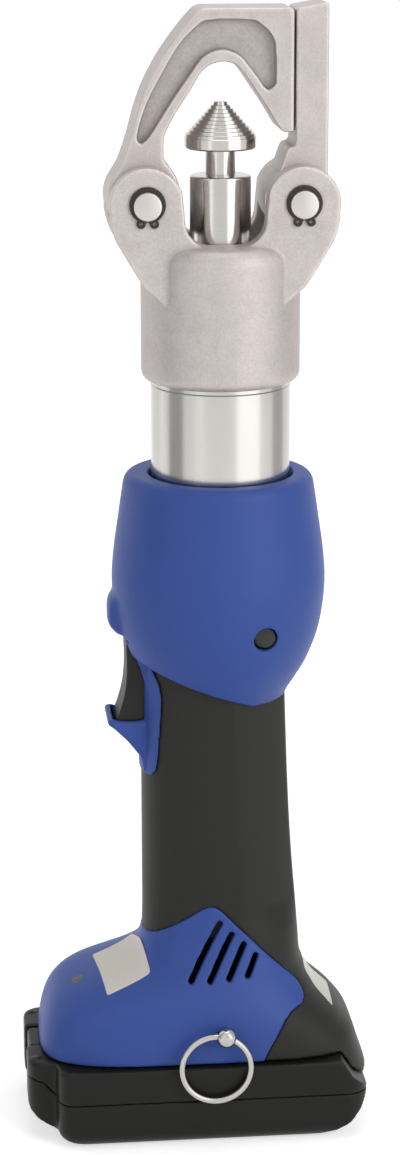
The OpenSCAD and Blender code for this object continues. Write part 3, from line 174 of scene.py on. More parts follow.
class Shape:
    """A closed mesh under construction, in millimetres."""

    def __init__(self) -> None:
        """Start with an empty mesh."""
        self.bm = bmesh.new()

    def closed(self) -> "Shape":
        """Merge doubles and turn the faces outwards."""
        bmesh.ops.remove_doubles(self.bm, verts=self.bm.verts[:], dist=MERGE)
        bmesh.ops.recalc_face_normals(self.bm, faces=self.bm.faces[:])
        return self

    def lathe(self, profile: Sequence[Point2], steps: int = 96) -> "Shape":
        """Turn a closed profile of radius and height round Z.

        Args:
            profile: Radius and height of each corner, in order.
            steps: Pieces of the turn.

        Returns:
            This shape.
        """
        verts = [self.bm.verts.new((r, 0, z)) for r, z in profile]
        edges = [self.bm.edges.new((verts[i - 1], verts[i])) for i in range(len(verts))]
        bmesh.ops.spin(self.bm, geom=verts + edges, cent=(0, 0, 0), axis=(0, 0, 1), dvec=(0, 0, 0),
                       angle=2 * math.pi, steps=steps, use_merge=True, use_duplicate=False)
        return self.closed()

    def plate(self, outline: Sequence[Point2], low: float, high: float, rim: float = 0) -> "Shape":
        """Pull an outline in the X, Z plane along Y.

        Args:
            outline: X and Z of each corner.
            low: Y where the plate starts.
            high: Y where the plate ends.
            rim: Rounding of its two rims.

        Returns:
            This shape.
        """
        face = self.bm.faces.new([self.bm.verts.new((x, low, z)) for x, z in outline])
        moved = bmesh.ops.extrude_face_region(self.bm, geom=[face])["geom"]
        bmesh.ops.translate(self.bm, verts=[g for g in moved if isinstance(g, bmesh.types.BMVert)],
                            vec=(0, high - low, 0))
        self.closed()
        if rim:
            rims = [e for e in self.bm.edges if abs(e.verts[0].co.y - e.verts[1].co.y) < TINY]
            bmesh.ops.bevel(self.bm, geom=rims, offset=rim, offset_type="OFFSET", affect="EDGES", segments=3,
                            profile=0.5, material=-1, clamp_overlap=True)
        return self

    def through(self, outline: Sequence[Point2]) -> "Shape":
        """Pull an outline along Y, right through the tool."""
        return self.plate(outline, -FAR, FAR)

    def block(self, low: Sequence[float], high: Sequence[float], rim: float = 0) -> "Shape":
        """Add a box between two corners.

        Args:
            low: Lowest corner.
            high: Highest corner.
            rim: Rounding of its edges.

        Returns:
            This shape.
        """
        verts = bmesh.ops.create_cube(self.bm, size=1)["verts"]
        size, centre = Vector(high) - Vector(low), (Vector(high) + Vector(low)) / 2
        bmesh.ops.scale(self.bm, verts=verts, vec=size)
        bmesh.ops.translate(self.bm, verts=verts, vec=centre)
        if rim:
            bmesh.ops.bevel(self.bm, geom=list({e for v in verts for e in v.link_edges}), offset=rim,
                            offset_type="OFFSET", affect="EDGES", segments=4, profile=0.5, material=-1)
        return self

    def rod(self, radius: float, start: Sequence[float], end: Sequence[float], steps: int = 48) -> "Shape":
        """Add a rod between two points.

        Args:
            radius: Radius of the rod.
            start: Middle of its first end.
            end: Middle of its other end.
            steps: Sides of the rod.

        Returns:
            This shape.
        """
        run = Vector(end) - Vector(start)
        turn = run.to_track_quat("Z", "Y").to_matrix().to_4x4()
        place = Matrix.Translation((Vector(start) + Vector(end)) / 2) @ turn
        bmesh.ops.create_cone(self.bm, cap_ends=True, segments=steps, radius1=radius, radius2=radius,
                              depth=run.length, matrix=place)
        return self

    def knob(self, radius: float, centre: Sequence[float]) -> "Shape":
        """Add a ball round a centre."""
        bmesh.ops.create_uvsphere(self.bm, u_segments=24, v_segments=16, radius=radius,
                                  matrix=Matrix.Translation(Vector(centre)))
        return self

    def skin(self, columns: int, rows: int, place: Callable[[float, float], Sequence[float]]) -> "Shape":
        """Bend a grid into a closed tube with flat ends.

        Args:
            columns: Pieces round the tube.
            rows: Pieces along the tube.
            place: Gives the point at a share round and a share along.

        Returns:
            This shape.
        """
        made = bmesh.ops.create_grid(self.bm, x_segments=columns, y_segments=rows, size=0.5)["verts"]
        for vert in made:
            vert.co = Vector(place(vert.co.x + 0.5, vert.co.y + 0.5))
        bmesh.ops.remove_doubles(self.bm, verts=made, dist=MERGE)
        bmesh.ops.holes_fill(self.bm, edges=[e for e in self.bm.edges if e.is_boundary], sides=0)
        return self.closed()

    def turned(self, turn: Matrix) -> "Shape":
        """Move the shape by a matrix."""
        bmesh.ops.transform(self.bm, matrix=turn, verts=self.bm.verts[:])
        return self

    def piece(self, name: str) -> Piece:
        """Make an object of the shape, in metres.

        Args:
            name: Name of the object.

        Returns:
            The object, linked to the scene.
        """
        bmesh.ops.scale(self.bm, verts=self.bm.verts[:], vec=(MM, MM, MM))
        return linked(self.bm, name)


class Carve(Enum):
    """Ways to combine a piece with another shape."""

    ADD = "UNION"
    CUT = "DIFFERENCE"
    KEEP = "INTERSECT"


def modify(piece: Piece, kind: str, **settings: object) -> None:
    """Add a modifier to a piece.

    Args:
        piece: The object that gets it.
        kind: Type of the modifier.
        settings: Its properties.
    """
    step = piece.modifiers.new(kind.lower(), kind)
    for key, value in settings.items():
        setattr(step, key, value)


def settle(piece: Piece) -> Piece:
    """Turn a piece's modifiers into plain mesh.

    Args:
        piece: The object to settle.

    Returns:
        The same object.
    """
    bpy.context.view_layer.update()
    graph = bpy.context.evaluated_depsgraph_get()
    mesh = bpy.data.meshes.new_from_object(piece.evaluated_get(graph))
    spare = piece.data
    piece.modifiers.clear()
    piece.data = mesh
    mesh.name = piece.name
    bpy.data.meshes.remove(spare)
    return piece


def carve(piece: Piece, how: Carve, *shapes: Shape) -> Piece:
    """Combine a piece with shapes.

    Args:
        piece: The object that changes.
        how: Way of combining.
        shapes: Shapes that are used up.

    Returns:
        The same object.
    """
    for i, shape in enumerate(shapes):
        other = shape.piece(f"{piece.name}_{how.name.lower()}_{i}")
        modify(piece, "BOOLEAN", operation=how.value, solver="EXACT", object=other)
        settle(piece)
        discard(other)
    return piece


def discard(piece: Piece) -> None:
    """Take an object and its mesh away.

    Args:
        piece: The object that is no longer needed.
    """
    spare = piece.data
    bpy.data.objects.remove(piece)
    bpy.data.meshes.remove(spare)


def cleave(piece: Piece, name: str, side: int) -> Piece:
    """Copy the half of a piece on one side of the middle plane.

    Args:
        piece: The whole piece.
        name: Name of the half.
        side: -1 for the left half, 1 for the right.

    Returns:
        The half, closed along the cut.
    """
    bm = bmesh.new()
    bm.from_mesh(piece.data)
    made = bmesh.ops.bisect_plane(bm, geom=bm.verts[:] + bm.edges[:] + bm.faces[:], dist=1e-7,
                                  plane_co=(0, 0, 0), plane_no=(0, side, 0), clear_inner=True)
    rim = [e for e in made["geom_cut"] if isinstance(e, bmesh.types.BMEdge)]
    bmesh.ops.triangle_fill(bm, edges=rim, use_beauty=False, use_dissolve=False)
    bmesh.ops.recalc_face_normals(bm, faces=bm.faces[:])
    return crisp(linked(bm, name), angle=50)


def soften(piece: Piece, voxel: float, rounds: int, factor: float = 0.5) -> Piece:
    """Give a piece the soft edges of a casting or moulding.

    Args:
        piece: The object that changes.
        voxel: Grain of the new mesh in millimetres.
        rounds: Rounds of smoothing.
        factor: Strength of each round.

    Returns:
        The same object.
    """
    modify(piece, "REMESH", mode="VOXEL", voxel_size=voxel * MM, use_smooth_shade=True)
    modify(piece, "SMOOTH", factor=factor, iterations=rounds)
    settle(piece)
    piece.data.shade_smooth()
    return piece


def merge(piece: Piece, other: Piece) -> Piece:
    """Put another piece's mesh into a piece.

    Args:
        piece: The object that grows.
        other: The object that is used up.

    Returns:
        The first object.
    """
    bm = bmesh.new()
    bm.from_mesh(piece.data)
    bm.from_mesh(other.data)
    bm.to_mesh(piece.data)
    bm.free()
    discard(other)
    return piece


def crisp(piece: Piece, angle: float = SHARP) -> Piece:
    """Shade a piece smoothly.

    Args:
        piece: The object that is shaded.
        angle: Angle of an edge that stays sharp, in degrees.

    Returns:
        The same object.
    """
    piece.data.shade_smooth()
    piece.data.set_sharp_from_angle(angle=math.radians(angle))
    return piece


class Signal:
    """A shader socket that takes part in Python arithmetic."""

    def __init__(self, graph: "Graph", socket: bpy.types.NodeSocket) -> None:
        """Hold a socket of a graph."""
        self.graph, self.socket = graph, socket

    def _with(self, operation: str, first: "Signal | float", second: "Signal | float") -> "Signal":
        """Add a Math node for two values."""
        return self.graph.node("ShaderNodeMath", {"operation": operation}, {0: first, 1: second})

    def __add__(self, other: "Signal | float") -> "Signal":
        """Add."""
        return self._with("ADD", self, other)

    __radd__ = __add__

    def __sub__(self, other: "Signal | float") -> "Signal":
        """Subtract."""
        return self._with("SUBTRACT", self, other)

    def __rsub__(self, other: float) -> "Signal":
        """Subtract from a number."""
        return self._with("SUBTRACT", other, self)

    def __mul__(self, other: "Signal | float") -> "Signal":
        """Multiply."""
        return self._with("MULTIPLY", self, other)

    __rmul__ = __mul__

    def swing(self) -> "Signal":
        """Centre noise on 0."""
        return self - 0.5

    def most(self, other: "Signal | float") -> "Signal":
        """Give the larger of two values."""
        return self._with("MAXIMUM", self, other)


class Graph:
    """Node tree of one material, or of the world."""

    def __init__(self, name: str, owner: bpy.types.World | None = None) -> None:
        """Open the nodes of a new material.

        Args:
            name: Name of the material.
            owner: World whose nodes are opened instead.
        """
        self.owner = owner or bpy.data.materials.new(name)
        self.owner.use_nodes = True
        self.tree = self.owner.node_tree
        self.place = self.node("ShaderNodeTexCoord", out="Object")

    def found(self, kind: str) -> bpy.types.Node:
        """Give the first node whose type starts with some letters."""
        return next(n for n in self.tree.nodes if n.type.startswith(kind))

    def node(self, kind: str, settings: dict | None = None, inputs: dict | None = None,
             out: int | str = 0) -> Signal:
        """Add a node.

        Args:
            kind: Type of the node.
            settings: Properties that are set first.
            inputs: Values or signals of its sockets, by name or number.
            out: Output that is used.

        Returns:
            The signal of that output.
        """
        node = self.tree.nodes.new(kind)
        for key, value in (settings or {}).items():
            setattr(node, key, value)
        for key, value in (inputs or {}).items():
            self.feed(node.inputs[key], value)
        return Signal(self, node.outputs[out])

    def feed(self, socket: bpy.types.NodeSocket, value: object) -> None:
        """Link a signal to a socket, or set its value.

        Args:
            socket: The socket.
            value: A signal, number or colour.
        """
        if isinstance(value, Signal):
            self.tree.links.new(value.socket, socket)
        else:
            socket.default_value = value

    def noise(self, size: float, detail: float = 2, stretch: Sequence[float] = (1, 1, 1)) -> Signal:
        """Add noise of a grain size.

        Args:
            size: Size of the grain in millimetres.
            detail: Layers of finer noise.
            stretch: Scale of each axis.

        Returns:
            Noise round 0.5.
        """
        place = self.place
        if tuple(stretch) != (1, 1, 1):
            place = self.node("ShaderNodeMapping", {"vector_type": "POINT"},
                              {"Vector": place, "Scale": stretch})
        return self.node("ShaderNodeTexNoise", {"noise_dimensions": "3D"},
                         {"Vector": place, "Scale": 1 / (size * MM), "Detail": detail, "Roughness": 0.55})

    def mix(self, factor: Signal, colour: Colour, shades: Point2) -> Signal:
        """Blend a dark and a light shade of a colour by a signal.

        Args:
            factor: The signal.
            colour: The colour.
            shades: Shares of it that are the dark and the light shade.

        Returns:
            The blended colour.
        """
        dark, light = ((*(min(c * share, 1.0) for c in colour), 1) for share in shades)
        return self.node("ShaderNodeMix", {"data_type": "RGBA", "clamp_factor": True},
                         {"Factor": factor, 6: dark, 7: light}, out=2)

    def bump(self, height: Signal, depth: float, below: Signal | None = None) -> Signal:
        """Add a bump.

        Args:
            height: Signal of the bump.
            depth: Its depth in millimetres.
            below: A bump that it lies on.

        Returns:
            The bent normal.
        """
        inputs: dict = {"Height": height, "Strength": 1.0, "Distance": depth * MM}
        if below:
            inputs["Normal"] = below
        return self.node("ShaderNodeBump", None, inputs)

    def edge(self, start: float, end: float, most: float) -> Signal:
        """Give a signal that grows along sharp edges or creases.

        Args:
            start: Pointiness where it starts, 0.5 on flat faces.
            end: Pointiness where it is full.
            most: Its full value.

        Returns:
            The signal, 0 on flat faces.
        """
        sharp = self.node("ShaderNodeNewGeometry", out="Pointiness")
        return self.node("ShaderNodeMapRange", None,
                         {"Value": sharp, "From Min": start, "From Max": end, "To Max": most})

    def seen(self) -> Signal:
        """Give 1 for rays that show the background: straight to the camera, or by gloss or glass."""
        camera, gloss, glass = (self.node("ShaderNodeLightPath", out=f"Is {kind} Ray")
                                for kind in ("Camera", "Glossy", "Transmission"))
        return camera.most(gloss).most(glass)

    def shade(self, **inputs: object) -> bpy.types.Material:
        """Set the sockets of the Principled shader.

        Args:
            inputs: Values or signals, with the spaces of a socket's name written as underscores.

        Returns:
            The material.
        """
        shader = self.found("BSDF_PRINCIPLED")
        for key, value in inputs.items():
            self.feed(shader.inputs[key.replace("_", " ")], value)
        return self.owner

    def surface(self, shown: Signal) -> None:
        """Show a shader as the surface of the material or world."""
        self.feed(self.found("OUTPUT").inputs["Surface"], shown)


@dataclass(frozen=True)
class Casting:
    """Blasted cast metal with a fine pebbled grain."""

    name: str
    colour: Colour
    metallic: float = 0.55
    roughness: float = 0.52
    grain: float = 0.7
    depth: float = 0.06
    cloud: float = 3.5
    broad: float = 9.0
    ripple: float = 2.2
    ripple_depth: float = 0.05
    # Sharp edges are made lighter: partly wear, partly a painted highlight along the rims.
    wear_and_highlight: tuple = (0.5, 0.56, 0.8)
    # Hollows and creases are made darker: painted shade.
    crease_shade: tuple = (0.5, 0.43, 1.0)
    shades: Point2 = (0.8, 1.2)
    weights: tuple = (1.1, 0.4, 0.7)
    darker: float = 0.05
    play: float = 0.15

    def build(self) -> bpy.types.Material:
        """Make the material."""
        g = Graph(self.name)
        fine, cloud, broad = g.noise(self.grain, 3), g.noise(self.cloud, 3), g.noise(self.broad, 2)
        # Pointiness lightens sharp edges and darkens hollows; the darker hollows are painted shade.
        wear_and_highlight, crease_shade = g.edge(*self.wear_and_highlight), g.edge(*self.crease_shade)
        a, b, c = self.weights
        # The lighter sharp edges here are partly wear, partly painted highlight.
        patch = fine * a + cloud.swing() * b + broad.swing() * c - self.darker + wear_and_highlight - crease_shade
        return g.shade(
            Base_Color=g.mix(patch, self.colour, self.shades),
            Metallic=self.metallic, Roughness=self.roughness + broad.swing() * self.play - wear_and_highlight * self.play,
            Normal=g.bump(fine, self.depth, g.bump(g.noise(self.ripple, 2), self.ripple_depth)))


@dataclass(frozen=True)
class TurnedSteel:
    """Turned or ground steel with fine lines round its axis."""

    name: str
    colour: Colour
    roughness: float = 0.2
    lines: float = 0.12
    stretch: tuple = (0.02, 0.02, 1)
    broad: float = 14.0
    depth: float = 0.0015
    shades: Point2 = (0.92, 1.06)
    weights: Point2 = (0.6, 0.4)
    play: Point2 = (0.1, 0.06)

    def build(self) -> bpy.types.Material:
        """Make the material."""
        g = Graph(self.name)
        lines, broad = g.noise(self.lines, 2, self.stretch), g.noise(self.broad, 2)
        patch = lines * self.weights[0] + broad * self.weights[1]
        return g.shade(
            Base_Color=g.mix(patch, self.colour, self.shades), Metallic=1.0,
            Roughness=self.roughness + lines.swing() * self.play[0] + broad.swing() * self.play[1],
            Normal=g.bump(lines, self.depth))


@dataclass(frozen=True)
class Moulding:
    """Moulded plastic with a fine spark-eroded grain."""

    name: str
    colour: Colour
    roughness: float = 0.42
    grain: float = 0.35
    depth: float = 0.012
    broad: float = 22.0
    # Sharp edges are made lighter and glossier.
    edge_band: tuple = (0.51, 0.6, 0.12)
    gloss: float = 0.5
    shades: Point2 = (0.9, 1.14)
    weights: Point2 = (0.35, 0.5)
    play: tuple = (0.12, 0.1, 0.5)

    def build(self) -> bpy.types.Material:
        """Make the material."""
        g = Graph(self.name)
        # Sharp edges are made lighter and glossier.
        fine, broad, edges_lighter = g.noise(self.grain, 2), g.noise(self.broad, 3), g.edge(*self.edge_band)
        patch = fine * self.weights[0] + broad * self.weights[1] + edges_lighter
        a, b, c = self.play
        return g.shade(
            Base_Color=g.mix(patch, self.colour, self.shades),
            Roughness=self.roughness + fine.swing() * a + broad.swing() * b - edges_lighter * c,
            Specular_IOR_Level=self.gloss, Normal=g.bump(fine, self.depth))


@dataclass(frozen=True)
class Plain:
    """Small fittings: plated, wound, coated or sleeved pieces with a light mottle."""

    name: str
    colour: Colour
    metallic: float
    roughness: float
    grain: float = 0.8
    depth: float = 0.006
    shades: Point2 = (0.85, 1.1)
    play: float = 0.15

    def build(self) -> bpy.types.Material:
        """Make the material."""
        g = Graph(self.name)
        fine = g.noise(self.grain, 3)
        return g.shade(Base_Color=g.mix(fine, self.colour, self.shades),
                       Metallic=self.metallic, Roughness=self.roughness + fine.swing() * self.play,
                       Normal=g.bump(fine, self.depth))


FINISHES = {
    "cast": Casting("cast_metal", (0.495, 0.45, 0.438)),
    # Darker, rougher finish of the yoke's recess floors: partly as cast, partly painted shade.
    "cast_raw_shaded": Casting("rough_cast_metal", (0.405, 0.37, 0.356), roughness=0.6, grain=0.9, depth=0.08),
    "steel": TurnedSteel("turned_steel", (0.5, 0.47, 0.45), 0.42),
    "polished_steel": TurnedSteel("polished_steel", (0.475, 0.463, 0.44), 0.2),
    "ram_steel": TurnedSteel("burnished_steel", (0.55, 0.53, 0.5), 0.15),
    "dark_steel": Plain("blackened_steel", (0.03, 0.027, 0.024), 0.6, 0.45),
    "alloy": Plain("machined_alloy", (0.55, 0.55, 0.55), 1.0, 0.35),
    "rubber": Plain("seal_rubber", (0.015, 0.015, 0.015), 0.0, 0.6),
    "winding": Plain("wound_copper", (0.55, 0.25, 0.12), 1.0, 0.4),
    "black_plastic": Moulding("grip_black", (0.0165, 0.016, 0.0135), 0.5, 0.45, 0.02, gloss=0.22),
    "blue_plastic": Moulding("housing_blue", (0.042, 0.09, 0.36), 0.46, gloss=0.22),
    "battery_plastic": Moulding("battery_black", (0.0085, 0.0082, 0.0066), 0.4, gloss=0.2),
    "board": Plain("coated_board", (0.02, 0.12, 0.05), 0.0, 0.45),
    "lamp": Plain("tinted_lamp", (0.03, 0.035, 0.05), 0.0, 0.2),
    "brass": Plain("plated_contact", (0.7, 0.5, 0.25), 1.0, 0.3),
    "plate": Plain("blank_foil", (0.58, 0.545, 0.5), 0.5, 0.45),
    # Pale sheet on the heel's rear slope.
    "label": Plain("pale_rear_sheet", (0.66, 0.64, 0.58), 0.0, 0.35),
    "cell": Plain("cell_sleeve", (0.2, 0.22, 0.25), 0.0, 0.4),
}


class Wardrobe:
    """Makes each finish once and puts it on pieces and CAD nodes."""

    def __init__(self) -> None:
        """Make every finish."""
        self.materials = {slot: finish.build() for slot, finish in FINISHES.items()}

    def dress(self, piece: Piece, slot: str) -> Piece:
        """Put one finish on a piece.

        Args:
            piece: The piece.
            slot: Name of the finish.

        Returns:
            The same piece.
        """
        piece.data.materials.clear()
        piece.data.materials.append(self.materials[slot])
        return piece

    def dress_nodes(self, rounding: dict[str, float], looks: dict[str, str]) -> None:
        """Dress every CAD node that still shows, and round the edges of some.

        Args:
            rounding: Edge rounding in millimetres, by node.
            looks: Finish of a node, where it differs from its slot's.
        """
        for part in frame["record"]["subparts"]:
            node = frame["nodes"][part["node"]]
            slot = looks.get(part["node"], part["material_slot"])
            if not node.material_slots:
                node.data.materials.append(self.materials[slot])
            for holder in node.material_slots:
                holder.material = self.materials[slot]
            if part["node"] in rounding:
                modify(node, "WELD", merge_threshold=TINY)
                modify(node, "DECIMATE", decimate_type="DISSOLVE", angle_limit=math.radians(1))
                modify(node, "BEVEL", width=rounding[part["node"]] * MM, segments=2, limit_method="ANGLE",
                       angle_limit=math.radians(SHARP))


@dataclass
class Assembly:
    """A sub-assembly of the tool: makes pieces that stand for CAD nodes."""

    wardrobe: Wardrobe

    def finish(self, piece: Piece, body: str, slot: str, *nodes: str,
               look: str | None = None) -> Piece:
        """Dress a piece, let it ride and hide the CAD nodes that it stands for.

        Args:
            piece: The finished piece.
            body: CAD body that it rides on.
            slot: Finish of the record.
            nodes: CAD nodes that it replaces.
            look: Finish that it shows, where that differs.

        Returns:
            The same piece.
        """
        self.wardrobe.dress(piece, look or slot)
        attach(piece, body)
        if nodes:
            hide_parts(*nodes)
        LOG.info("%s rides on %s, %d faces", piece.name, body, len(piece.data.polygons))
        return piece

    def halves(self, *shells: tuple[Piece, str]) -> None:
        """Part shells into left and right halves, named after the nodes they stand for.

        Args:
            shells: Each shell, which is used up, and its finish.
        """
        for (side, half), (whole, slot) in product(HALVES, shells):
            piece = cleave(whole, f"{whole.name}_shell_{half}", side)
            self.finish(piece, "tool", slot, f"{whole.name}_{half}")
        for whole, _ in shells:
            discard(whole)


@dataclass
class Jaw(Assembly):
    """Cast head, hook yoke, latch, and their pins and clips."""

    pin_x: float = 27.0
    pin_z: float = 343.0
    pin_r: float = 5.05
    pin_fit: float = 0.05
    pin_over: float = 2.1
    pin_end: tuple = ((1.1, 0), (0.25, 0.3), (0, 0.8))
    groove: Point2 = (1.12, 0.04)
    groove_depth: float = 0.4
    clip_r: float = 6.25
    clip_t: float = 1.0
    clip_gap: float = 0.05
    clip_lift: float = 0.45
    clip_bite: float = 0.35
    clip_rim: float = 0.15
    clip_sweep: float = 352.0
    eye_reach: float = 6.4
    eye_r: float = 1.55
    eye_hole_r: float = 0.6
    gap_turn: float = 21.0
    gap_w: float = 1.15
    gap_drop: float = 12.0
    foot_z: float = 279.2
    foot_edge: float = 3.4
    shelf_h: float = 40.5
    barrel_r: float = 28.1
    barrel_edge: float = 6.0
    spigot_r: float = 21.8
    ram_r: float = 11.2
    saddle_z: float = 328.5
    saddle_half: float = 14.0
    saddle_corner: float = 9.0
    saddle_sink: float = 2.0
    root_drop: float = 26.0
    ear_r: float = 13.0
    ear_in: float = 11.4
    ear_out: float = 19.4
    cheek_r: float = 12.9
    cheek_turn: Point2 = (20, 195)
    slot_top: float = 420.0
    bore_top: float = 400.0
    bore_half: float = 40.0
    half_t: float = 11.15
    knuckle_gap: float = 0.2
    yoke_h: float = 65.9
    yoke_rim: float = 0.9
    latch_h: float = 67.5
    latch_rim: float = 0.8
    recess: float = 3.6
    recess_rim: float = 0.8
    recess_over: float = 6.0
    # Share of the recess depth whose floor faces get the darker finish, partly painted shade.
    shaded_floor_share: float = 0.35
    flank: tuple = ((-12.75, -4.8), (-12, -8.5), (-10.7, -12.5), (-8.5, -16.2), (-6, -20.5), (-3.2, -25),
                    (-0.9, -28.5))
    yoke_out: tuple = ((-0.237, 0.02), (-0.226, 0.1), (-0.158, 0.194), (-0.1, 0.325), (-0.047, 0.48),
                       (0.012, 0.607), (0.096, 0.736), (0.19, 0.847), (0.28, 0.939), (0.335, 0.985),
                       (0.38, 1))
    yoke_nose: tuple = ((0.932, 1), (0.952, 0.985), (0.952, 0.365), (0.94, 0.358), (0.885, 0.361))
    yoke_in: tuple = ((0.86, 0.376), (0.783, 0.48), (0.72, 0.557), (0.657, 0.633), (0.606, 0.689),
                      (0.561, 0.715), (0.493, 0.726), (0.417, 0.71), (0.374, 0.684), (0.343, 0.654),
                      (0.291, 0.581), (0.228, 0.505), (0.178, 0.439), (0.133, 0.366), (0.12, 0.325),
                      (0.119, 0.246), (0.131, 0.211), (0.163, 0.179), (0.207, 0.117), (0.232, 0.02))
    pocket: tuple = ((-0.026, 0.308), (-0.05, 0.351), (0.007, 0.505), (0.104, 0.659), (0.217, 0.812),
                     (0.324, 0.903), (0.406, 0.939), (0.669, 0.939), (0.743, 0.913), (0.806, 0.862),
                     (0.831, 0.797), (0.835, 0.633), (0.826, 0.602), (0.794, 0.581), (0.763, 0.592),
                     (0.719, 0.643), (0.656, 0.71), (0.606, 0.756), (0.543, 0.781), (0.493, 0.789),
                     (0.419, 0.775), (0.356, 0.74), (0.293, 0.669), (0.196, 0.557), (0.102, 0.439),
                     (0.026, 0.344))
    latch: tuple = ((0.72, 0.1), (0.72, 0.995), (0.68, 1), (-0.1, 0.974), (-0.154, 0.965), (-0.154, 0.305),
                    (-0.175, 0.287), (-0.22, 0.28), (-0.34, 0.275), (-0.4, 0.26), (-0.46, 0.225),
                    (-0.58, 0.16), (-0.69, 0.09), (-0.8, 0.03), (-0.9, 0))

    def build(self) -> None:
        """Make the three castings, the two pins and their clips."""
        self.head()
        self.yoke()
        self.latch_arm()
        self.pin("yoke_pin_turned", -self.pin_x, "yoke_pin")
        self.pin("latch_pin_turned", self.pin_x, "latch_pin")
        self.clips()

    def pin(self, name: str, x: float, node: str) -> None:
        """Make a pin with chamfered ends and a groove for each clip.

        Args:
            name: Name of the piece.
            x: Place of the pin.
            node: CAD node that it stands for.
        """
        end, first, last = (self.ear_out + rise for rise in (self.pin_over, *self.groove))
        r, groove = self.pin_r - self.pin_fit, self.pin_r - self.groove_depth
        half = [(0, end)] + [(r - step, end - drop) for step, drop in self.pin_end]
        half += [(r, first), (groove, first), (groove, last), (r, last)]
        profile = half + [(radius, -z) for radius, z in reversed(half)]
        turn = Matrix.Translation((x, 0, self.pin_z)) @ Matrix.Rotation(math.radians(90), 4, "X")
        self.finish(crisp(Shape().lathe(profile, steps=64).turned(turn).piece(name)), "head", "steel", node)

    def clips(self) -> None:
        """Make the four spring clips as one piece."""
        lows = (self.ear_out + self.clip_gap, -self.ear_out - self.clip_gap - self.clip_t)
        whole = None
        for x, low in product((-self.pin_x, self.pin_x), lows):
            piece = self.clip("clip" if whole else "pin_clips", x, low)
            whole = merge(whole, piece) if whole else piece
        self.finish(crisp(whole), "head", "dark_steel", "pin_circlips")

    def clip(self, name: str, x: float, low: float) -> Piece:
        """Make one clip, thick opposite its gap, with an eye at each end.

        Args:
            name: Name of the piece.
            x: Place of its pin.
            low: Y of its lower face.

        Returns:
            The piece.
        """
        top, under, over = low + self.clip_t, low - self.clip_t, low + 2 * self.clip_t
        disc = arc((x, self.pin_z + self.clip_lift), self.clip_r, 0, self.clip_sweep, 44)
        piece = Shape().plate(disc, low, top, self.clip_rim).piece(name)
        turns = [math.radians(q) for q in (-90 - self.gap_turn, -90 + self.gap_turn)]
        eyes = [(x + self.eye_reach * math.cos(q), self.pin_z + self.eye_reach * math.sin(q)) for q in turns]
        carve(piece, Carve.ADD,
              *(Shape().rod(self.eye_r, (ex, low, ez), (ex, top, ez), 24) for ex, ez in eyes))
        gap = [(x, self.pin_z)] + [(x + side * self.gap_w, self.pin_z - self.gap_drop) for side in (-1, 1)]
        return carve(
            piece, Carve.CUT,
            Shape().rod(self.pin_r - self.clip_bite, (x, under, self.pin_z), (x, over, self.pin_z), 48),
            Shape().plate(gap, under, over),
            *(Shape().rod(self.eye_hole_r, (ex, under, ez), (ex, over, ez), 16) for ex, ez in eyes))

    def bores(self, *places: float) -> list[Shape]:
        """Give cutters for the pin holes at some X places."""
        y = self.bore_half
        return [Shape().rod(self.pin_r, (x, -y, self.pin_z), (x, y, self.pin_z)) for x in places]

    def head(self) -> None:
        """Make the head: a barrel with a domed edge, two pairs of ears and their fillets."""
        r, e, f = self.barrel_r, self.barrel_edge, self.foot_edge
        shelf = self.foot_z + self.shelf_h
        profile = ([(self.spigot_r, self.foot_z)] + arc((r - f, self.foot_z + f), f, -90, 0, 8)
                   + arc((r - e, self.saddle_z - e), e, 0, 90, 12)
                   + [(self.ram_r, self.saddle_z), (self.ram_r, shelf), (self.spigot_r, shelf)])
        piece = Shape().lathe(profile).piece("head_casting")
        run = self.saddle_half - self.saddle_corner
        saddle = arc((-run, self.saddle_z + self.saddle_corner), self.saddle_corner, 180, 270, 10)
        left = saddle[::-1] + arc((-self.pin_x, self.pin_z), self.cheek_r, *self.cheek_turn, 30)
        left += [(x - self.pin_x, z + self.pin_z) for x, z in self.flank]
        left.append((-self.saddle_half, self.saddle_z - self.root_drop))
        outline = left + [(-x, z) for x, z in reversed(left)]
        carve(piece, Carve.ADD, Shape().plate(outline, -self.ear_out, self.ear_out))
        slot = Shape().block((-FAR, -self.ear_in, self.saddle_z - self.saddle_sink),
                             (FAR, self.ear_in, self.slot_top))
        bore = Shape().rod(self.ram_r, (0, 0, shelf - 1), (0, 0, self.bore_top))
        carve(piece, Carve.CUT, slot, bore, *self.bores(-self.pin_x, self.pin_x))
        self.finish(soften(piece, voxel=0.6, rounds=7), "head", "cast", "head_body")

    def arm(self, name: str, outline: Sequence[Point2], x: float, rim: float) -> Piece:
        """Make a casting between the ears with its knuckle.

        Args:
            name: Name of the piece.
            outline: Its outline in X, Z.
            x: Place of its pin.
            rim: Chamfer of its edges.

        Returns:
            The piece, with no pin hole yet.
        """
        piece = Shape().plate(outline, -self.half_t, self.half_t, rim).piece(name)
        ends = [(x, y, self.pin_z) for y in (-self.half_t, self.half_t)]
        return carve(piece, Carve.ADD, Shape().rod(self.ear_r - self.knuckle_gap, *ends, 96))

    def yoke(self) -> None:
        """Make the hook yoke with a recess in each face."""
        outer, nose, inner, pocket = (
            spread(shares, (2 * self.pin_x, self.yoke_h), (-self.pin_x, self.pin_z))
            for shares in (self.yoke_out, self.yoke_nose, self.yoke_in, self.pocket))
        outline = spline(outer, 5) + nose + spline(inner, 5)
        piece = self.arm("yoke_casting", outline, -self.pin_x, self.yoke_rim)
        dish = spline(pocket, 3, closed=True)
        floor, over = self.half_t - self.recess, self.half_t + self.recess_over
        dishes = [Shape().plate(dish, *run, self.recess_rim) for run in ((-over, -floor), (floor, over))]
        carve(piece, Carve.CUT, *dishes, *self.bores(-self.pin_x))
        self.finish(soften(piece, voxel=0.5, rounds=5), "yoke_arm", "cast", "yoke")
        self.roughen_and_shade(piece)

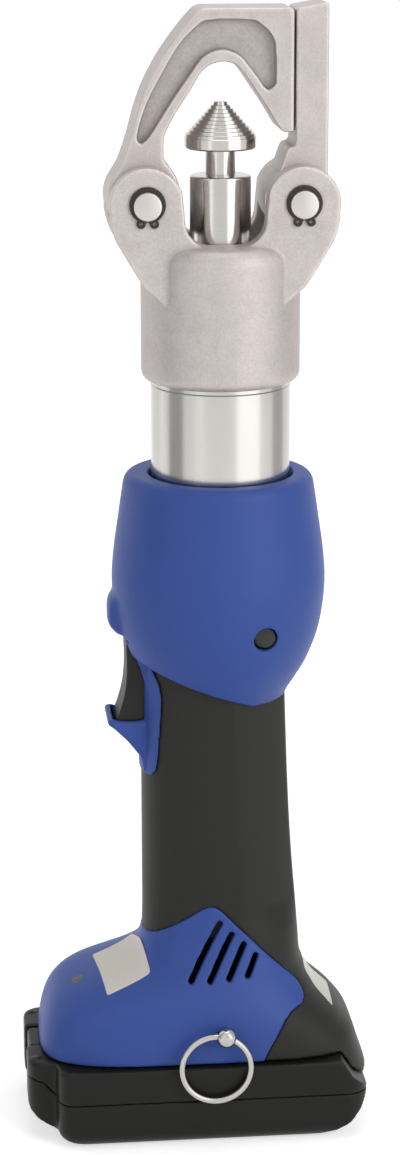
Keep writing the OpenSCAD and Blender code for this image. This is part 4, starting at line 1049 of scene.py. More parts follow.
    def roughen_and_shade(self, yoke: Piece) -> None:
        """Give the floors of the yoke's recesses a rougher, darker as-cast finish; the darker colour is
        partly painted shade.

        Args:
            yoke: The finished yoke.
        """
        yoke.data.materials.append(self.wardrobe.materials["cast_raw_shaded"])
        depth = (self.half_t - self.shaded_floor_share * self.recess) * MM
        for face in yoke.data.polygons:
            # Faces deep in the recesses get the darker finish, partly painted shade.
            if abs(face.normal.y) > 0.5 and abs(face.center.y) < depth:
                face.material_index = 1

    def latch_arm(self) -> None:
        """Make the latch that holds the yoke's nose."""
        outline = spread(self.latch, (self.ear_r, self.latch_h), (self.pin_x, self.pin_z))
        piece = self.arm("latch_casting", outline, self.pin_x, self.latch_rim)
        carve(piece, Carve.CUT, *self.bores(self.pin_x))
        self.finish(soften(piece, voxel=0.5, rounds=5), "latch_arm", "cast", "latch")


@dataclass
class Ram(Assembly):
    """Cylinder, ram, return spring and stepped punch."""

    cylinder_r: float = 24.7
    cylinder_low: float = 214.0
    cylinder_top: float = 279.0
    cylinder_edge: float = 0.6
    cylinder_step: tuple = ((0, 1.6), (0.35, 1.2), (0.35, 0))
    spigot_r: float = 21.5
    spigot_top: float = 319.0
    bore_r: float = 17.0
    ram_r: float = 10.7
    ram_low: float = 242.5
    ram_edge: float = 0.9
    piston_h: float = 12.0
    piston_gap: float = 0.1
    piston_edge: float = 0.4
    groove: Point2 = (3.9, 8.1)
    groove_depth: float = 2.4
    stud_hole: Point2 = (4.1, 11.2)
    stud: Point2 = (4, 11)
    guide_z: float = 307.2
    shoulder_z: float = 351.2
    neck_r: float = 5.2
    neck_h: float = 9.2
    punch_r: float = 12.5
    punch_edge: float = 0.5
    punch_ring_h: float = 4.0
    cone_h: float = 12.0
    tip_r: float = 1.6
    steps: int = 10
    step_edge: float = 0.12
    step_lean: tuple = ((0.35, 0.93), (0.45, 1))

    def build(self) -> None:
        """Make the turned pieces and the spring."""
        self.cylinder()
        self.rod()
        self.spring()
        self.punch()

    def cylinder(self) -> None:
        """Make the polished cylinder with its stepped spigot."""
        r, low, top, edge = self.cylinder_r, self.cylinder_low, self.cylinder_top, self.cylinder_edge
        profile = [(self.bore_r, low), (r - edge, low), (r, low + edge)]
        profile += [(r - step, top - drop) for step, drop in self.cylinder_step]
        profile += [(self.spigot_r, top), (self.spigot_r, self.spigot_top), (self.bore_r, self.spigot_top)]
        piece = crisp(Shape().lathe(profile, steps=160).piece("cylinder_barrel"))
        self.finish(piece, "tool", "polished_steel", "hydraulic_cylinder")

    def rod(self) -> None:
        """Make the ram with its piston and the hole for the punch's stud."""
        low, top, edge, bevel = self.ram_low, self.shoulder_z, self.ram_edge, self.piston_edge
        rim, face = self.bore_r - self.piston_gap, low + self.piston_h
        start, end = (low + rise for rise in self.groove)
        bed, (hole_r, hole_h) = rim - self.groove_depth, self.stud_hole
        profile = [(0, low), (rim - bevel, low), (rim, low + bevel), (rim, start), (bed, start), (bed, end),
                   (rim, end), (rim, face - bevel), (rim - bevel, face), (self.ram_r, face)]
        profile += arc((self.ram_r - edge, top - edge), edge, 0, 90, 5)
        profile += [(hole_r, top), (hole_r, top - hole_h), (0, top - hole_h)]
        piece = crisp(Shape().lathe(profile, steps=96).piece("ram_turned"), angle=30)
        self.finish(piece, "ram_rod", "polished_steel", "ram", look="ram_steel")

    def spring(self) -> None:
        """Copy the CAD return spring as a smooth steel piece and hide the CAD node."""
        coil = Shape()
        coil.bm.from_mesh(frame["nodes"]["return_spring"].data)
        bmesh.ops.scale(coil.bm, vec=(1 / MM, 1 / MM, 1 / MM), verts=coil.bm.verts[:])
        piece = self.wardrobe.dress(crisp(coil.closed().piece("return_spring_coil"), angle=50), "steel")
        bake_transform(piece)
        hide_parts("return_spring")
        LOG.info("%s reaches from tool to ram_rod", piece.name)

    def punch(self) -> None:
        """Make the punch with a stepped cone."""
        foot, edge, (stud_r, stud_h) = self.shoulder_z, self.punch_edge, self.stud
        base = foot + self.neck_h
        cone = base + self.punch_ring_h
        step_h, step_r = self.cone_h / self.steps, (self.punch_r - self.tip_r) / self.steps
        profile = [(0, foot - stud_h), (stud_r, foot - stud_h), (stud_r, foot), (self.neck_r, foot),
                   (self.neck_r, base - edge), (self.neck_r + edge, base), (self.punch_r - edge, base),
                   (self.punch_r, base + edge)]
        for i in range(self.steps):
            r, z = self.punch_r - i * step_r, cone + i * step_h
            profile += [(r, z - self.step_edge), (r - self.step_edge, z)]
            profile += [(r - lean * step_r, z + step_h * rise) for lean, rise in self.step_lean]
        profile += [(self.tip_r, cone + self.cone_h), (0, cone + self.cone_h)]
        piece = crisp(Shape().lathe(profile, steps=128).piece("punch_turned"), angle=30)
        self.finish(piece, "ram_rod", "polished_steel", "punch", look="ram_steel")


@dataclass
class Body(Assembly):
    """Lofted grip and foot: one row per ring gives height, front, rear, half width and squareness."""

    rings: list = field(default_factory=list)
    columns: int = 112
    row_h: float = 1.2
    grip_front: float = 29.0
    rear_low: float = 29.5
    rear_high: float = 23.2
    half_w: float = 23.6
    foot_front: float = 68.5
    foot_rear: float = 47.5
    foot_half_w: float = 34.5
    foot_z: float = 31.0
    foot_h: float = 44.0
    foot_top: float = 96.0
    grip_z: float = 75.0
    grip_len: float = 91.0
    grip_top: float = 182.0
    square: float = 2.3
    square_gain: float = 1.5
    wall: float = 2.4
    over: float = 2.0
    foot_shares: tuple = (
        (0, 1, 1, 1, 1), (0.11, 0.985, 0.97, 1, 1), (0.23, 0.96, 0.8, 0.99, 0.9),
        (0.34, 0.92, 0.53, 0.95, 0.75), (0.43, 0.865, 0.31, 0.88, 0.55), (0.5, 0.79, 0.2, 0.8, 0.4),
        (0.545, 0.7, 0.13, 0.74, 0.3),
        (0.59, 0.565, 0.08, 0.67, 0.2), (0.635, 0.425, 0.045, 0.6, 0.12), (0.68, 0.3, 0, 0.52, 0.08),
        (0.73, 0.19, -0.02, 0.44, 0.05), (0.775, 0.12, -0.03, 0.37, 0.02), (0.82, 0.07, -0.04, 0.3, 0),
        (0.865, 0.04, -0.045, 0.23, 0), (0.93, 0.02, -0.055, 0.14, 0), (1, 0.005, -0.07, 0.06, 0))
    grip_shares: tuple = ((0.09, 0.7), (0.25, 0.5), (0.42, 0.33), (0.6, 0.2), (0.78, 0.1), (1, 0),
                          (1.18, -0.02))
    zone: tuple = ((-1.2, -0.2), (-1.2, 0.95), (-0.43, 0.945), (-0.077, 1.33), (0.58, 0.557), (0.62, 0.423),
                   (0.465, 0.393), (0.255, 0), (0.255, -0.2))
    zone_corner: float = 5.0
    # A black sheet across the middle of the foot, behind the vents: it stands in for the dark insides and is
    # partly painted shade.
    vent_shade_sheet: tuple = ((-37, 43.5), (18.8, 43.5), (16.1, 72), (-20.8, 72), (-27.1, 64), (-35.2, 56))
    vent_shade_half_t: float = 1.6
    vents: tuple = (((-0.031, 1.166), (-0.206, 0.667)), ((0.032, 1.07), (-0.106, 0.663)),
                    ((0.095, 0.979), (-0.003, 0.675)), ((0.158, 0.884), (0.099, 0.685)))
    vent_w: float = 2.2
    vent_corner: float = 0.7
    slot_half_w: float = 8.8
    slot_low: float = 152.7
    slot_top: float = 187.3
    slot_rear: float = -16.5
    facet: Point2 = (0.636, 0.772)
    facet_reach: float = 19.8
    facet_gain: float = 0.47
    facet_depth: float = 0.7
    facet_low: float = 76.0
    facet_run: float = 9.0
    recess: float = -0.1
    lip: tuple = ((41.8, 31), (46.2, 24), (51, 19.6), (70, 19.6))
    lip_z: float = 17.0
    heel_rows: int = 30
    heel_sink: float = 0.25
    heel_x: float = 14.0
    heel_run: float = 26.0
    flare_z: float = 42.0
    flare: float = 6.4
    flare_bend: float = 1.25
    front_end: float = -150.0
    under_z: float = -50.0
    rail: tuple = ((19.7, 26.5, 32), (23.5, 22.5, 26.7))
    rail_x: Point2 = (-46, 46)
    dock_h: float = 2.5
    dock_rear: float = 26.0
    dock_inset: float = 3.6
    dock_top: float = 100.0

    def __post_init__(self) -> None:
        """Work out the rings of the loft."""
        for z, front, rear, width, square in self.foot_shares:
            self.rings.append((self.foot_z + z * self.foot_h,
                               self.grip_front + front * (self.foot_front - self.grip_front),
                               self.rear_low + rear * (self.foot_rear - self.rear_low),
                               self.half_w + width * (self.foot_half_w - self.half_w),
                               self.square + square * self.square_gain))
        for z, rear in self.grip_shares:
            self.rings.append((self.grip_z + z * self.grip_len, self.grip_front,
                               self.rear_high + rear * (self.rear_low - self.rear_high),
                               self.half_w, self.square))
        self.track = spline(self.rings, 12)

    def section(self, z: float) -> tuple[float, ...]:
        """Find the ring at a height.

        Args:
            z: Height.

        Returns:
            Height, front, rear, half width and squareness.
        """
        for low, high in zip(self.track, self.track[1:]):
            if z <= high[0]:
                t = max(0.0, (z - low[0]) / max(high[0] - low[0], TINY))
                return tuple(a + (b - a) * t for a, b in zip(low, high))
        return self.track[-1]

    def point(self, turn: float, z: float, inset: float) -> tuple[float, float, float]:
        """Give a point of the loft.

        Args:
            turn: Share of a turn, from the rear.
            z: Height.
            inset: How far the surface is set in.

        Returns:
            The point.
        """
        _, front, rear, width, square = self.section(z)
        angle = 2 * math.pi * turn
        c, s = math.cos(angle), math.sin(angle)
        half, power = (front + rear) / 2 - inset, 2 / square
        x = (rear - front) / 2 + half * math.copysign(abs(c) ** power, c)
        y = (width - inset) * math.copysign(abs(s) ** power, s) if abs(s) > 1e-9 else 0.0
        lean = x * self.facet[0] + abs(y) * self.facet[1]
        over = lean - (self.facet_reach + self.facet_gain * (rear - self.rear_high)) + inset
        push = max(over, 0) * self.facet_depth * clamp((z - self.facet_low) / self.facet_run)
        return x - push * self.facet[0], y - math.copysign(push * self.facet[1], y), z

    def heel(self) -> Shape:
        """Make the heel's flare down to the lip behind the battery."""
        def place(u: float, v: float) -> tuple[float, float, float]:
            """Give a point of the flare.

            Args:
                u: Share of a turn.
                v: Share of the height.

            Returns:
                The point.
            """
            z = self.lip_z + (self.flare_z - self.lip_z) * v
            x, y, _ = self.point(u, max(z, self.foot_z), self.recess + self.heel_sink)
            ease = clamp((self.flare_z - z) / (self.flare_z - self.lip[-1][1])) ** self.flare_bend
            ease *= clamp((x - self.heel_x) / self.heel_run)
            length = math.hypot(x, y)
            return x + ease * self.flare * x / length, y + ease * self.flare * y / length, z
        return Shape().skin(self.columns, self.heel_rows, place)

    def loft(self, inset: float, low: float, high: float) -> Shape:
        """Make the closed loft between two heights, set in by some millimetres."""
        rows = max(6, int((high - low) / self.row_h))
        return Shape().skin(self.columns, rows, lambda u, v: self.point(u, low + (high - low) * v, inset))

    def zone_outline(self) -> list[Point2]:
        """Give the outline of the blue part of the foot in X, Z."""
        corners = [(x * (self.foot_front if x < 0 else self.foot_rear), self.foot_z + z * self.foot_h)
                   for x, z in self.zone]
        return rounded(corners, self.zone_corner)

    def vent_cutters(self) -> list[Shape]:
        """Give cutters for the slanted vents, right through the foot."""
        cutters = []
        for ends in self.vents:
            a, b = map(Vector, spread(ends, (self.foot_front, self.foot_h), (0, self.foot_z)))
            side = (b - a).orthogonal().normalized() * self.vent_w / 2
            corners = [tuple(p) for p in (a + side, b + side, b - side, a - side)]
            cutters.append(Shape().through(rounded(corners, self.vent_corner, 3)))
        return cutters

    def slot(self, front: float, top: float) -> Shape:
        """Give a cutter for the trigger's slot, from its front end up to a height."""
        half = self.slot_half_w
        return Shape().block((front, -half, self.slot_low), (self.slot_rear, half, top))

    def build(self) -> None:
        """Make the two halves of the foot and of the grip, and the dock's rails."""
        zone = self.zone_outline()
        foot = self.loft(0, self.foot_z, self.foot_top).piece("foot")
        carve(foot, Carve.CUT, self.loft(self.wall, self.foot_z - self.over, self.foot_top + self.over))
        carve(foot, Carve.KEEP, Shape().through(zone))
        carve(foot, Carve.CUT, *self.vent_cutters())
        soften(foot, voxel=0.55, rounds=4)
        grip = self.loft(self.recess, self.foot_z, self.grip_top).piece("grip")
        carve(grip, Carve.ADD, self.heel())
        under = [(self.front_end, self.foot_z), *self.lip, (self.lip[-1][0], self.under_z),
                 (self.front_end, self.under_z)]
        carve(grip, Carve.CUT, Shape().plate(under, -WIDE, WIDE),
              self.loft(self.recess + self.wall, self.foot_z - self.over, self.grip_top + self.over),
              Shape().through(zone), self.slot(-WIDE, self.slot_top))
        # Add the black sheet behind the vents: dark insides and partly painted shade.
        carve(grip, Carve.ADD, Shape().plate(self.vent_shade_sheet, -self.vent_shade_half_t, self.vent_shade_half_t))
        soften(grip, voxel=0.7, rounds=4)
        self.halves((foot, "blue_plastic"), (grip, "black_plastic"))
        self.dock()

    def dock(self) -> None:
        """Make the dock's plate and the rails that the battery slides on."""
        dock = self.loft(self.dock_inset, self.foot_z, self.foot_z + self.dock_h).piece("dock_rails")
        carve(dock, Carve.KEEP,
              Shape().block((self.front_end, -FAR, 0), (self.dock_rear, FAR, self.dock_top)))
        carve(dock, Carve.ADD, *(Shape().block((self.rail_x[0], -half, low), (self.rail_x[1], half, high))
                                 for half, low, high in self.rail))
        self.finish(crisp(dock), "tool", "black_plastic", "battery_dock")


@dataclass
class Cover(Assembly):
    """Blue upper cover in two halves, with the hood over the trigger."""

    low_z: float = 166.0
    drop: float = 2.2
    height: float = 79.5
    radius: float = 38.4
    shift: float = -0.8
    wall: float = 3.0
    roof: float = 4.5
    throat_r: float = 26.0
    throat_run: float = 10.0
    cut_x: float = 8.9
    cut_low: float = 100.0
    slope: float = 0.39
    gap: float = 0.2
    seat: Point2 = (150, 183)
    hood_half_w: float = 10.5
    screw_x: float = 12.5
    screw_z: float = 192.0
    screw_r: float = 4.35
    screw_floor: float = 28.5
    rib_count: int = 18
    rib_x: Point2 = (-1.3, 1)
    rib_half_w: float = 0.8
    rib_drop: Point2 = (4.4, 1.2)
    profile: tuple = ((0.618, -0.05), (0.66, 0), (0.743, 0.063), (0.852, 0.158), (0.953, 0.302), (1, 0.478),
                      (0.986, 0.629), (0.931, 0.818), (0.897, 0.93), (0.882, 0.968), (0.85, 0.991), (0.8, 1))
    hood: tuple = ((0.89, 0.25), (0.985, 0.272), (1.035, 0.3), (1.052, 0.325), (1.052, 0.4), (1.03, 0.43),
                   (0.985, 0.46))

    def heights(self, shares: Sequence[Point2]) -> list[Point2]:
        """Turn shares of the radius and height into points."""
        return spread(shares, (self.radius, self.height), (0, self.low_z))

    def turned(self, inset: float, top: float) -> Shape:
        """Turn the cover's outside.

        Args:
            inset: How far it is set in.
            top: Height that it stops at.

        Returns:
            The closed shape.
        """
        curve = [(r - inset, z) for r, z in spline(self.heights(self.profile), 10) if z <= top]
        rim = [(0.0, curve[-1][1]), (0.0, curve[0][1])]
        return Shape().lathe(curve + rim, steps=224).turned(Matrix.Translation((self.shift, 0, 0)))

    def outside(self, top: float) -> Shape:
        """Give the cover's outside with the hood drawn out of its front.

        Args:
            top: Height that it stops at.

        Returns:
            The closed shape.
        """
        shape = self.turned(0, top)
        peak, flat = self.heights(self.hood), self.hood_half_w / 2
        for vert in shape.bm.verts:
            fade = 1 - clamp((abs(vert.co.y) - flat) / flat)
            for (r0, z0), (r1, z1) in zip(peak, peak[1:]):
                if vert.co.x < -self.radius / 2 and z0 <= vert.co.z < z1:
                    reach = r0 + (r1 - r0) * (vert.co.z - z0) / (z1 - z0)
                    front = self.shift - math.sqrt(max(reach ** 2 - vert.co.y ** 2, 0))
                    vert.co.x += min(front - vert.co.x, 0) * fade * fade * (3 - 2 * fade)
        return shape

    def ribs(self, top: float) -> list[Shape]:
        """Give the small ribs round the throat.

        Args:
            top: Height of the cover's rim.

        Returns:
            The ribs.
        """
        low, high = ((self.throat_r + x, side * self.rib_half_w, top - drop)
                     for side, x, drop in zip((-1, 1), self.rib_x, self.rib_drop))
        turns = [2 * math.pi * k / self.rib_count for k in range(self.rib_count)]
        return [Shape().block(low, high).turned(Matrix.Rotation(q, 4, "Z")) for q in turns]

    def build(self, body: Body) -> None:
        """Make both halves.

        Args:
            body: The grip that the cover closes round.
        """
        top, low = self.low_z + self.height, self.low_z - self.drop
        cover = self.outside(top + 1).piece("cover")
        slant = [(-WIDE, low + (WIDE + self.cut_x) * self.slope), (self.cut_x, low), (WIDE, low),
                 (WIDE, self.cut_low), (-WIDE, self.cut_low)]
        screws = [Shape().rod(self.screw_r, (self.screw_x, side * self.screw_floor, self.screw_z),
                              (self.screw_x, side * FAR, self.screw_z)) for side, _ in HALVES]
        throat = Shape().rod(self.throat_r, (0, 0, top - self.throat_run), (0, 0, top + self.throat_run), 96)
        carve(cover, Carve.CUT, self.turned(self.wall, top - self.roof), throat,
              Shape().plate(slant, -WIDE, WIDE), body.loft(self.gap, *self.seat),
              body.slot(-WIDE, body.slot_top), *screws)
        carve(cover, Carve.ADD, *self.ribs(top))
        soften(cover, voxel=0.6, rounds=4)
        self.halves((cover, "blue_plastic"))


@dataclass
class TriggerGroup(Assembly):
    """Finger trigger and the blue guard round it."""

    low_z: float = 153.0
    height: float = 34.0
    front: float = 29.0
    back: float = 25.0
    back_h: float = 28.0
    half_w: float = 8.5
    rim: float = 1.4
    pocket_r: float = 4.2
    pocket_x: Point2 = (-30.5, -20)
    pocket_h: float = 14.0
    finger: tuple = ((1.069, 0.91), (1.069, 1), (1.19, 1), (1.203, 0.88), (1.197, 0.735), (1.2, 0.56),
                     (1.224, 0.38), (1.276, 0.206), (1.35, 0.03), (1.33, 0))
    guard_z: Point2 = (128, 188)
    guard_h: float = 28.0
    guard_half_w: float = 10.5
    proud: float = 0.9
    gap: float = 0.2
    seat: Point2 = (120, 195)
    wall_x: float = -39.9
    wall_z: float = 156.8
    mouth_x: float = -20.0
    mouth_top: float = 195.5
    lip_rim: float = 1.6
    lip: tuple = ((0.9, 0.114), (1.128, 0.093), (1.286, 0.1), (1.37, 0.125), (1.425, 0.115), (1.445, 0.085),
                  (1.431, 0.045), (1.352, -0.018), (1.21, -0.164), (1.1, -0.307), (1.028, -0.414), (1, -0.6),
                  (0.9, -0.6))
    strip: tuple = ((-45, 135.5), (-28.6, 135.5), (-26.6, 136), (-25, 138.5), (-24.3, 144), (-23.4, 158.6),
                    (-23.1, 166.4), (-23.9, 171.4), (-26, 176), (-28, 180), (-28, 186), (-45, 190))
    cheek: tuple = ((-35.3, 186.4), (-32.3, 181.6), (-29.7, 175.2), (-27.9, 167.9), (-27.3, 160), (-24, 160),
                    (-24, 186.4))
    cheek_half_w: float = 11.6

    def build(self, body: Body) -> None:
        """Make the trigger and the guard.

        Args:
            body: The grip that carries the guard.
        """
        self.trigger()
        self.guard(body)

    def trigger(self) -> None:
        """Make the finger trigger with the pocket for its spring."""
        points = spread(self.finger, (-self.front, self.height), (0, self.low_z))
        outline = [(-self.back, self.low_z), (-self.back, self.low_z + self.back_h), *points[:2]]
        outline += spline(points[2:9], 4) + points[9:]
        piece = Shape().plate(outline, -self.half_w, self.half_w, self.rim).piece("trigger_lever_shell")
        ends = [(x, 0, self.low_z + self.pocket_h) for x in self.pocket_x]
        carve(piece, Carve.CUT, Shape().rod(self.pocket_r, *ends, 32))
        self.finish(soften(piece, voxel=0.45, rounds=4), "trigger_lever", "black_plastic", "trigger")

    def guard(self, body: Body) -> None:
        """Make the guard.

        Args:
            body: The grip that carries it.
        """
        piece = body.loft(-self.proud, *self.guard_z).piece("trigger_guard_shell")
        carve(piece, Carve.KEEP, Shape().through(self.strip))
        lip = spread(self.lip, (-self.front, self.guard_h), (0, self.low_z))
        carve(piece, Carve.ADD, Shape().plate(lip, -self.guard_half_w, self.guard_half_w, self.lip_rim),
              Shape().plate(self.cheek, -self.cheek_half_w, self.cheek_half_w))
        mouth = Shape().block((-WIDE, -body.slot_half_w, self.wall_z),
                              (self.mouth_x, body.slot_half_w, self.mouth_top))
        carve(piece, Carve.CUT, body.loft(self.gap, *self.seat), body.slot(self.wall_x, self.seat[1]), mouth)
        self.finish(soften(piece, voxel=0.45, rounds=5), "tool", "blue_plastic", "trigger_guard")


@dataclass
class Battery(Assembly):
    """Slide-on battery: a lower and an upper case with a nose of two lobes, and the release key."""

    front: float = 73.5
    main_front: float = 63.0
    rear: float = 51.5
    half_w: float = 37.0
    corner: float = 9.0
    front_corner: float = 7.0
    nose_half_w: float = 26.5
    nose_corner: float = 6.8
    fillet: float = 2.8
    height: float = 30.4
    edge: float = 7.0
    rim: float = 1.4
    wall_rows: tuple = (11, 15, 19, 23, 27)
    notch_half_w: float = 9.0
    notch_x: float = -63.5
    notch_z: float = 8.0
    seam_reach: float = 80.0
    seam_low: float = -20.0
    bead_r: float = 2.7
    beads: tuple = ((-70.2, -21, 28.4), (-70.2, 21, 28.4))
    room: tuple = ((-53.5, -32.9, 2.2), (41.5, 32.9, 21.4))
    rails: tuple = (((-58, -20.1, 26.1), (90, 20.1, 60)), ((-58, -23.9, 22.1), (90, 23.9, 26.9)))
    lip: tuple = ((41.4, 60), (41.4, 30.9), (45.8, 23.7), (50.8, 19.2), (90, 19.2), (90, 60))
    seam: tuple = ((-80, 23.6), (-71, 23.6), (-67.5, 22.6), (-65, 19.6), (-62.5, 17.8), (-59, 17.5),
                   (60, 17.5))
    side: tuple = ((-76, 31), (-74.2, 15), (-72.8, 11), (-70, 8.2), (-65.5, 5.4), (-60, 3), (-55, 1.2),
                   (-49.5, 0.3), (-46, 0), (26, 0), (33, 0.8), (39.5, 2.8), (45, 6.4), (49, 11), (51.2, 15.8),
                   (52.6, 22), (54, 31), (54, 60), (-76, 60))
    key: tuple = ((-72.5, -8.5, 8.5), (-66.5, 8.5, 29.9))
    key_rim: float = 1.4
    ridge_r: float = 1.0
    ridge_x: float = -73.0
    ridge_half_w: float = 6.5
    ridges: tuple = (14, 17, 20, 23)

    def plan(self, inset: float) -> list[Point2]:
        """Give the outline seen from above.

        Args:
            inset: How far it is set in.

        Returns:
            Its points in X, Y.
        """
        c, f, n, w = self.corner, self.front_corner, self.nose_corner, self.fillet
        half = arc((self.rear - c, self.half_w - c), c - inset, 0, 90, 8)
        half += arc((f - self.main_front, self.half_w - f), f - inset, 90, 180, 8)
        half += arc((-self.main_front - w, self.nose_half_w + w), w + inset, 0, -90, 6)
        half += arc((n - self.front, self.nose_half_w - n), n - inset, 90, 180, 8)
        return half + [(x, -y) for x, y in reversed(half)]

    def block(self) -> Shape:
        """Make the whole battery with its rounded lower and upper edges."""
        turns = [math.radians(90 * k / 8) for k in range(9)]
        rows = [(self.edge * (1 - math.sin(q)), self.edge * (1 - math.cos(q))) for q in turns]
        rows += [(0, z) for z in self.wall_rows]
        rows += [(self.rim * (1 - math.cos(q)), self.height - self.rim * (1 - math.sin(q)))
                 for q in turns[::2]]
        plans = [self.plan(inset) for inset, _ in rows]
        count = len(plans[0])

        def place(u: float, v: float) -> tuple[float, float, float]:
            """Give a point from its shares of a turn and of the rows."""
            row = round(v * (len(rows) - 1))
            return (*plans[row][round(u * count) % count], rows[row][1])
        return Shape().skin(count, len(rows) - 1, place)

    def cutters(self) -> list[Shape]:
        """Give cutters for the cells' room, the key's notch and the dock's lip."""
        notch = ((-WIDE, -self.notch_half_w, self.notch_z), (self.notch_x, self.notch_half_w, FAR))
        return [Shape().block(*self.room), Shape().block(*notch), Shape().through(self.lip)]

    def build(self) -> None:
        """Make both cases and the key."""
        for name, end, beads, rails in (("lower", self.seam_low, (), ()),
                                        ("upper", FAR, self.beads, self.rails)):
            piece = self.block().piece(f"battery_{name}_shell")
            carve(piece, Carve.ADD, *(Shape().knob(self.bead_r, bead) for bead in beads))
            reach = self.seam_reach
            part = [*self.seam, (reach, self.seam[-1][1]), (reach, end), (-reach, end)]
            carve(piece, Carve.KEEP, Shape().through(part), Shape().through(self.side))
            carve(piece, Carve.CUT, *self.cutters(), *(Shape().block(*rail) for rail in rails))
            self.finish(soften(piece, voxel=0.6, rounds=4), "battery_pack", "battery_plastic",
                        f"battery_case_{name}")
        key = Shape().block(*self.key, self.key_rim).piece("release_key_shell")
        x, y = self.ridge_x, self.ridge_half_w
        carve(key, Carve.CUT, *(Shape().rod(self.ridge_r, (x, -y, z), (x, y, z), 16) for z in self.ridges))
        self.finish(soften(key, voxel=0.4, rounds=3), "release_key", "battery_plastic", "battery_button")


@dataclass
class Fittings(Assembly):
    """Blank rating plate, a pale sheet on the heel's rear slope, and the carrying ring on its stud."""

    sheet: float = 0.35
    sheet_z: Point2 = (34, 80)
    sheet_keep: Point2 = (34.5, 79)
    sheet_under: Point2 = (30, 84)
    sheet_corner: float = 1.2
    rear_sheet_inset: float = 0.1
    stud: tuple = (-1.9, -39.4, 43.6)
    shank: tuple = ((2, 2.6), (2, 8.8), (0, 8.8))
    bead_r: float = 3.7
    bead_turn: Point2 = (-59, 52)
    bead_end: float = 0.86
    eye_gap: float = 0.55
    eye_run: float = 9.0
    ring_r: float = 12.6
    wire_r: float = 1.15
    lean: float = 16.5
    plate: tuple = ((-0.695, 0.237), (-0.478, 0.299), (-0.409, -0.639), (-0.645, -0.723))
    # Corners of the pale sheet on the heel's rear slope.
    label: tuple = ((0.64, -0.26), (0.85, -0.46), (0.87, 0.2), (0.64, 0.2))

    def build(self, body: Body) -> None:
        """Make every fitting.

        Args:
            body: The foot that carries them.
        """
        plate = spread(self.plate, (body.foot_front, body.foot_half_w))
        label = spread(self.label, (body.foot_rear, body.foot_half_w))
        self.sheet_on(body, "rating_foil", plate, 0.0, "plate", "rating_plate")
        # Lay the pale sheet on the heel's rear slope.
        self.sheet_on(body, "rear_pale_sheet", label, self.rear_sheet_inset, "label", "rear_label")
        self.ring()

    def ring(self) -> None:
        """Make the carrying ring and the stud that it swings in."""
        seat, flat = Matrix.Translation(self.stud), Matrix.Rotation(math.radians(90), 4, "X")
        lean = seat @ Matrix.Rotation(math.radians(self.lean), 4, "Y")
        hoop = Shape().lathe(arc((self.ring_r, 0), self.wire_r, 0, 345, 23), steps=128)
        hoop.turned(lean @ Matrix.Translation((0, 0, -self.ring_r)) @ flat)
        self.finish(crisp(hoop.piece("carrying_ring"), angle=80), "ring_loop", "polished_steel", "hang_ring")
        bead = [(0, -self.bead_r * self.bead_end)]
        bead += [*arc((0, 0), self.bead_r, *self.bead_turn, 22), *self.shank]
        turn = seat @ Matrix.Rotation(math.radians(-90), 4, "X")
        stud = Shape().lathe(bead, steps=48).turned(turn).piece("ring_stud_turned")
        run = lean.to_3x3() @ Vector((self.eye_run, 0, 0))
        ends = (Vector(self.stud) - run, Vector(self.stud) + run)
        carve(stud, Carve.CUT, Shape().rod(self.wire_r + self.eye_gap, *ends, 32))
        self.finish(crisp(stud), "tool", "polished_steel", "ring_stud")

    def sheet_on(self, body: Body, name: str, corners: list[Point2], inset: float, slot: str,
                 node: str) -> None:
        """Lay a thin blank sheet on the foot.

        Args:
            body: The foot.
            name: Name of the piece.
            corners: Corners seen from above.
            inset: How far the surface under it is set in.
            slot: Finish.
            node: CAD node that it stands for.
        """
        piece = body.loft(inset - self.sheet, *self.sheet_z).piece(name)
        outline = [(x, -y) for x, y in rounded(corners, self.sheet_corner, 4)]
        prism = Shape().plate(outline, *self.sheet_keep).turned(Matrix.Rotation(math.radians(90), 4, "X"))
        carve(piece, Carve.KEEP, prism)
        carve(piece, Carve.CUT, body.loft(inset, *self.sheet_under))
        self.finish(crisp(piece, angle=40), "tool", slot, node)


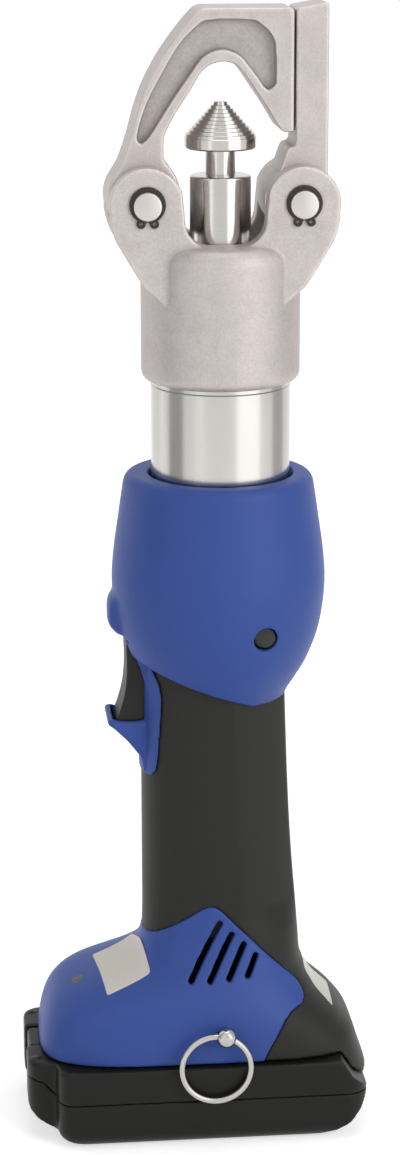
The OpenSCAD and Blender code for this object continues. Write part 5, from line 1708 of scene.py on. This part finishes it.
@dataclass
class Studio:
    """Camera, soft lamps, gloss cards, world and floor."""

    eye: tuple = (-0.1039, -0.9886, 0.476)
    pitch: float = 74.8
    yaw: float = -6.0
    lens: float = 88.9
    sensor: float = 36.0
    clip: Point2 = (0.05, 20)
    shift_x: float = -0.0176
    ambient: float = 0.3
    middle: tuple = (0, 0, 0.22)
    lamps: tuple = (("key", (0.85, -0.95, 0.75), (0.7, 0.9), 7),
                    ("fill", (-0.72, -0.95, 0.6), (0.16, 1.0), 2),
                    ("rim", (-1.0, 0.45, 0.6), (0.25, 1.0), 1.5),
                    ("top", (0.1, 0.1, 1.5), (0.8, 0.8), 4.5))
    card_reach: float = 700.0
    card_t: float = 5.0
    card_h: float = 1200.0
    cards: tuple = (("rim_strip", -110, 12, 1.5), ("left_card", -78, 30, 0.55), ("fill_strip", -33, 11, 1.5),
                    ("key_card", 47, 40, 2.1), ("right_card", 110, 30, 0.7))
    floor_half: float = 6000.0
    floor_tone: tuple = (0.9, 0.9, 0.9, 1)
    floor_run: Point2 = (0.2, 0.9)
    floor_glow: Point2 = (0.56, 0.78)

    def build(self) -> None:
        """Set up the camera, the lights, the world and the floor."""
        camera = bpy.data.cameras.new("camera")
        camera.lens, camera.sensor_width, camera.shift_x = self.lens, self.sensor, self.shift_x
        camera.clip_start, camera.clip_end = self.clip
        eye = bpy.data.objects.new("camera", camera)
        eye.location = self.eye
        eye.rotation_euler = (math.radians(self.pitch), 0, math.radians(self.yaw))
        bpy.context.scene.collection.objects.link(eye)
        bpy.context.scene.camera = eye
        bpy.context.scene.view_settings.view_transform = "Standard"
        for lamp in self.lamps:
            self.lamp(*lamp)
        for card in self.cards:
            self.card(*card)
        self.world()
        self.floor()

    def lamp(self, name: str, place: Sequence[float], size: Point2, power: float) -> None:
        """Add a soft lamp that looks at the tool's middle.

        Args:
            name: Name of the lamp.
            place: Where it stands.
            size: Width and height of its face.
            power: Watts.
        """
        light = bpy.data.lights.new(name, "AREA")
        light.shape = "RECTANGLE"
        light.size, light.size_y, light.energy = *size, power
        holder = bpy.data.objects.new(name, light)
        holder.location = place
        holder.rotation_euler = (Vector(self.middle) - Vector(place)).to_track_quat("-Z", "Y").to_euler()
        bpy.context.scene.collection.objects.link(holder)

    def card(self, name: str, turn: float, width: float, glow: float) -> None:
        """Stand a card round the tool, which shows only in gloss.

        Args:
            name: Name of the card.
            turn: Degrees to the right of the camera, seen from the tool.
            width: Degrees that it covers.
            glow: Its brightness, where 1 is white.
        """
        half = self.card_reach * math.tan(math.radians(width / 2))
        shape = Shape().block((-half, self.card_reach, 1), (half, self.card_reach + self.card_t, self.card_h))
        piece = shape.turned(Matrix.Rotation(math.radians(180 + self.yaw + turn), 4, "Z")).piece(name)
        piece.data.materials.append(Graph(name).shade(
            Base_Color=(0, 0, 0, 1), Roughness=1.0, Specular_IOR_Level=0.0, Emission_Color=WHITE,
            Emission_Strength=glow))
        piece.visible_camera = piece.visible_diffuse = piece.visible_shadow = False

    def world(self) -> None:
        """Light the room softly, and show it white behind the tool and in its gloss."""
        room = bpy.data.worlds.new("studio")
        bpy.context.scene.world = room
        graph = Graph("studio", room)
        soft, white = (graph.node("ShaderNodeBackground", None, {"Color": WHITE, "Strength": strength})
                       for strength in (self.ambient, 1.0))
        graph.surface(graph.node("ShaderNodeMixShader", None, {0: graph.seen(), 1: soft, 2: white}))

    def floor(self) -> None:
        """Lay a plain pale floor that shows white round the tool's shadow."""
        ground = Shape()
        bmesh.ops.create_grid(ground.bm, x_segments=1, y_segments=1, size=self.floor_half)
        piece = ground.piece("floor")
        graph = Graph("pale_floor")
        paint = graph.shade(Base_Color=self.floor_tone, Roughness=0.9, Specular_IOR_Level=0.2)
        piece.data.materials.append(paint)
        away = graph.node("ShaderNodeVectorMath", {"operation": "LENGTH"}, {0: graph.place}, out="Value")
        ends = dict(zip(("From Min", "From Max", "To Min", "To Max"), self.floor_run + self.floor_glow))
        rise = graph.node("ShaderNodeMapRange", None, {"Value": away, **ends})
        dark, glow = (graph.node("ShaderNodeEmission", None, {"Strength": strength})
                      for strength in (0.0, rise))
        shown = graph.node("ShaderNodeMixShader", None, {0: graph.seen(), 1: dark, 2: glow})
        lit = Signal(graph, graph.found("BSDF_PRINCIPLED").outputs[0])
        graph.surface(graph.node("ShaderNodeAddShader", None, {0: lit, 1: shown}))


def main() -> None:
    """Build the looks of the tool, piece by piece."""
    logging.basicConfig(level=logging.INFO, format="%(message)s")
    wardrobe = Wardrobe()
    Studio().build()
    Jaw(wardrobe).build()
    Ram(wardrobe).build()
    body = Body(wardrobe)
    body.build()
    Cover(wardrobe).build(body)
    TriggerGroup(wardrobe).build(body)
    Battery(wardrobe).build()
    Fittings(wardrobe).build(body)
    wardrobe.dress_nodes({"pump_screws": 0.3, "housing_screws": 0.3, "status_lamp": 0.4},
                         {"motor_can": "dark_steel", "pump_screws": "rubber"})


if __name__ == "__main__":
    main()
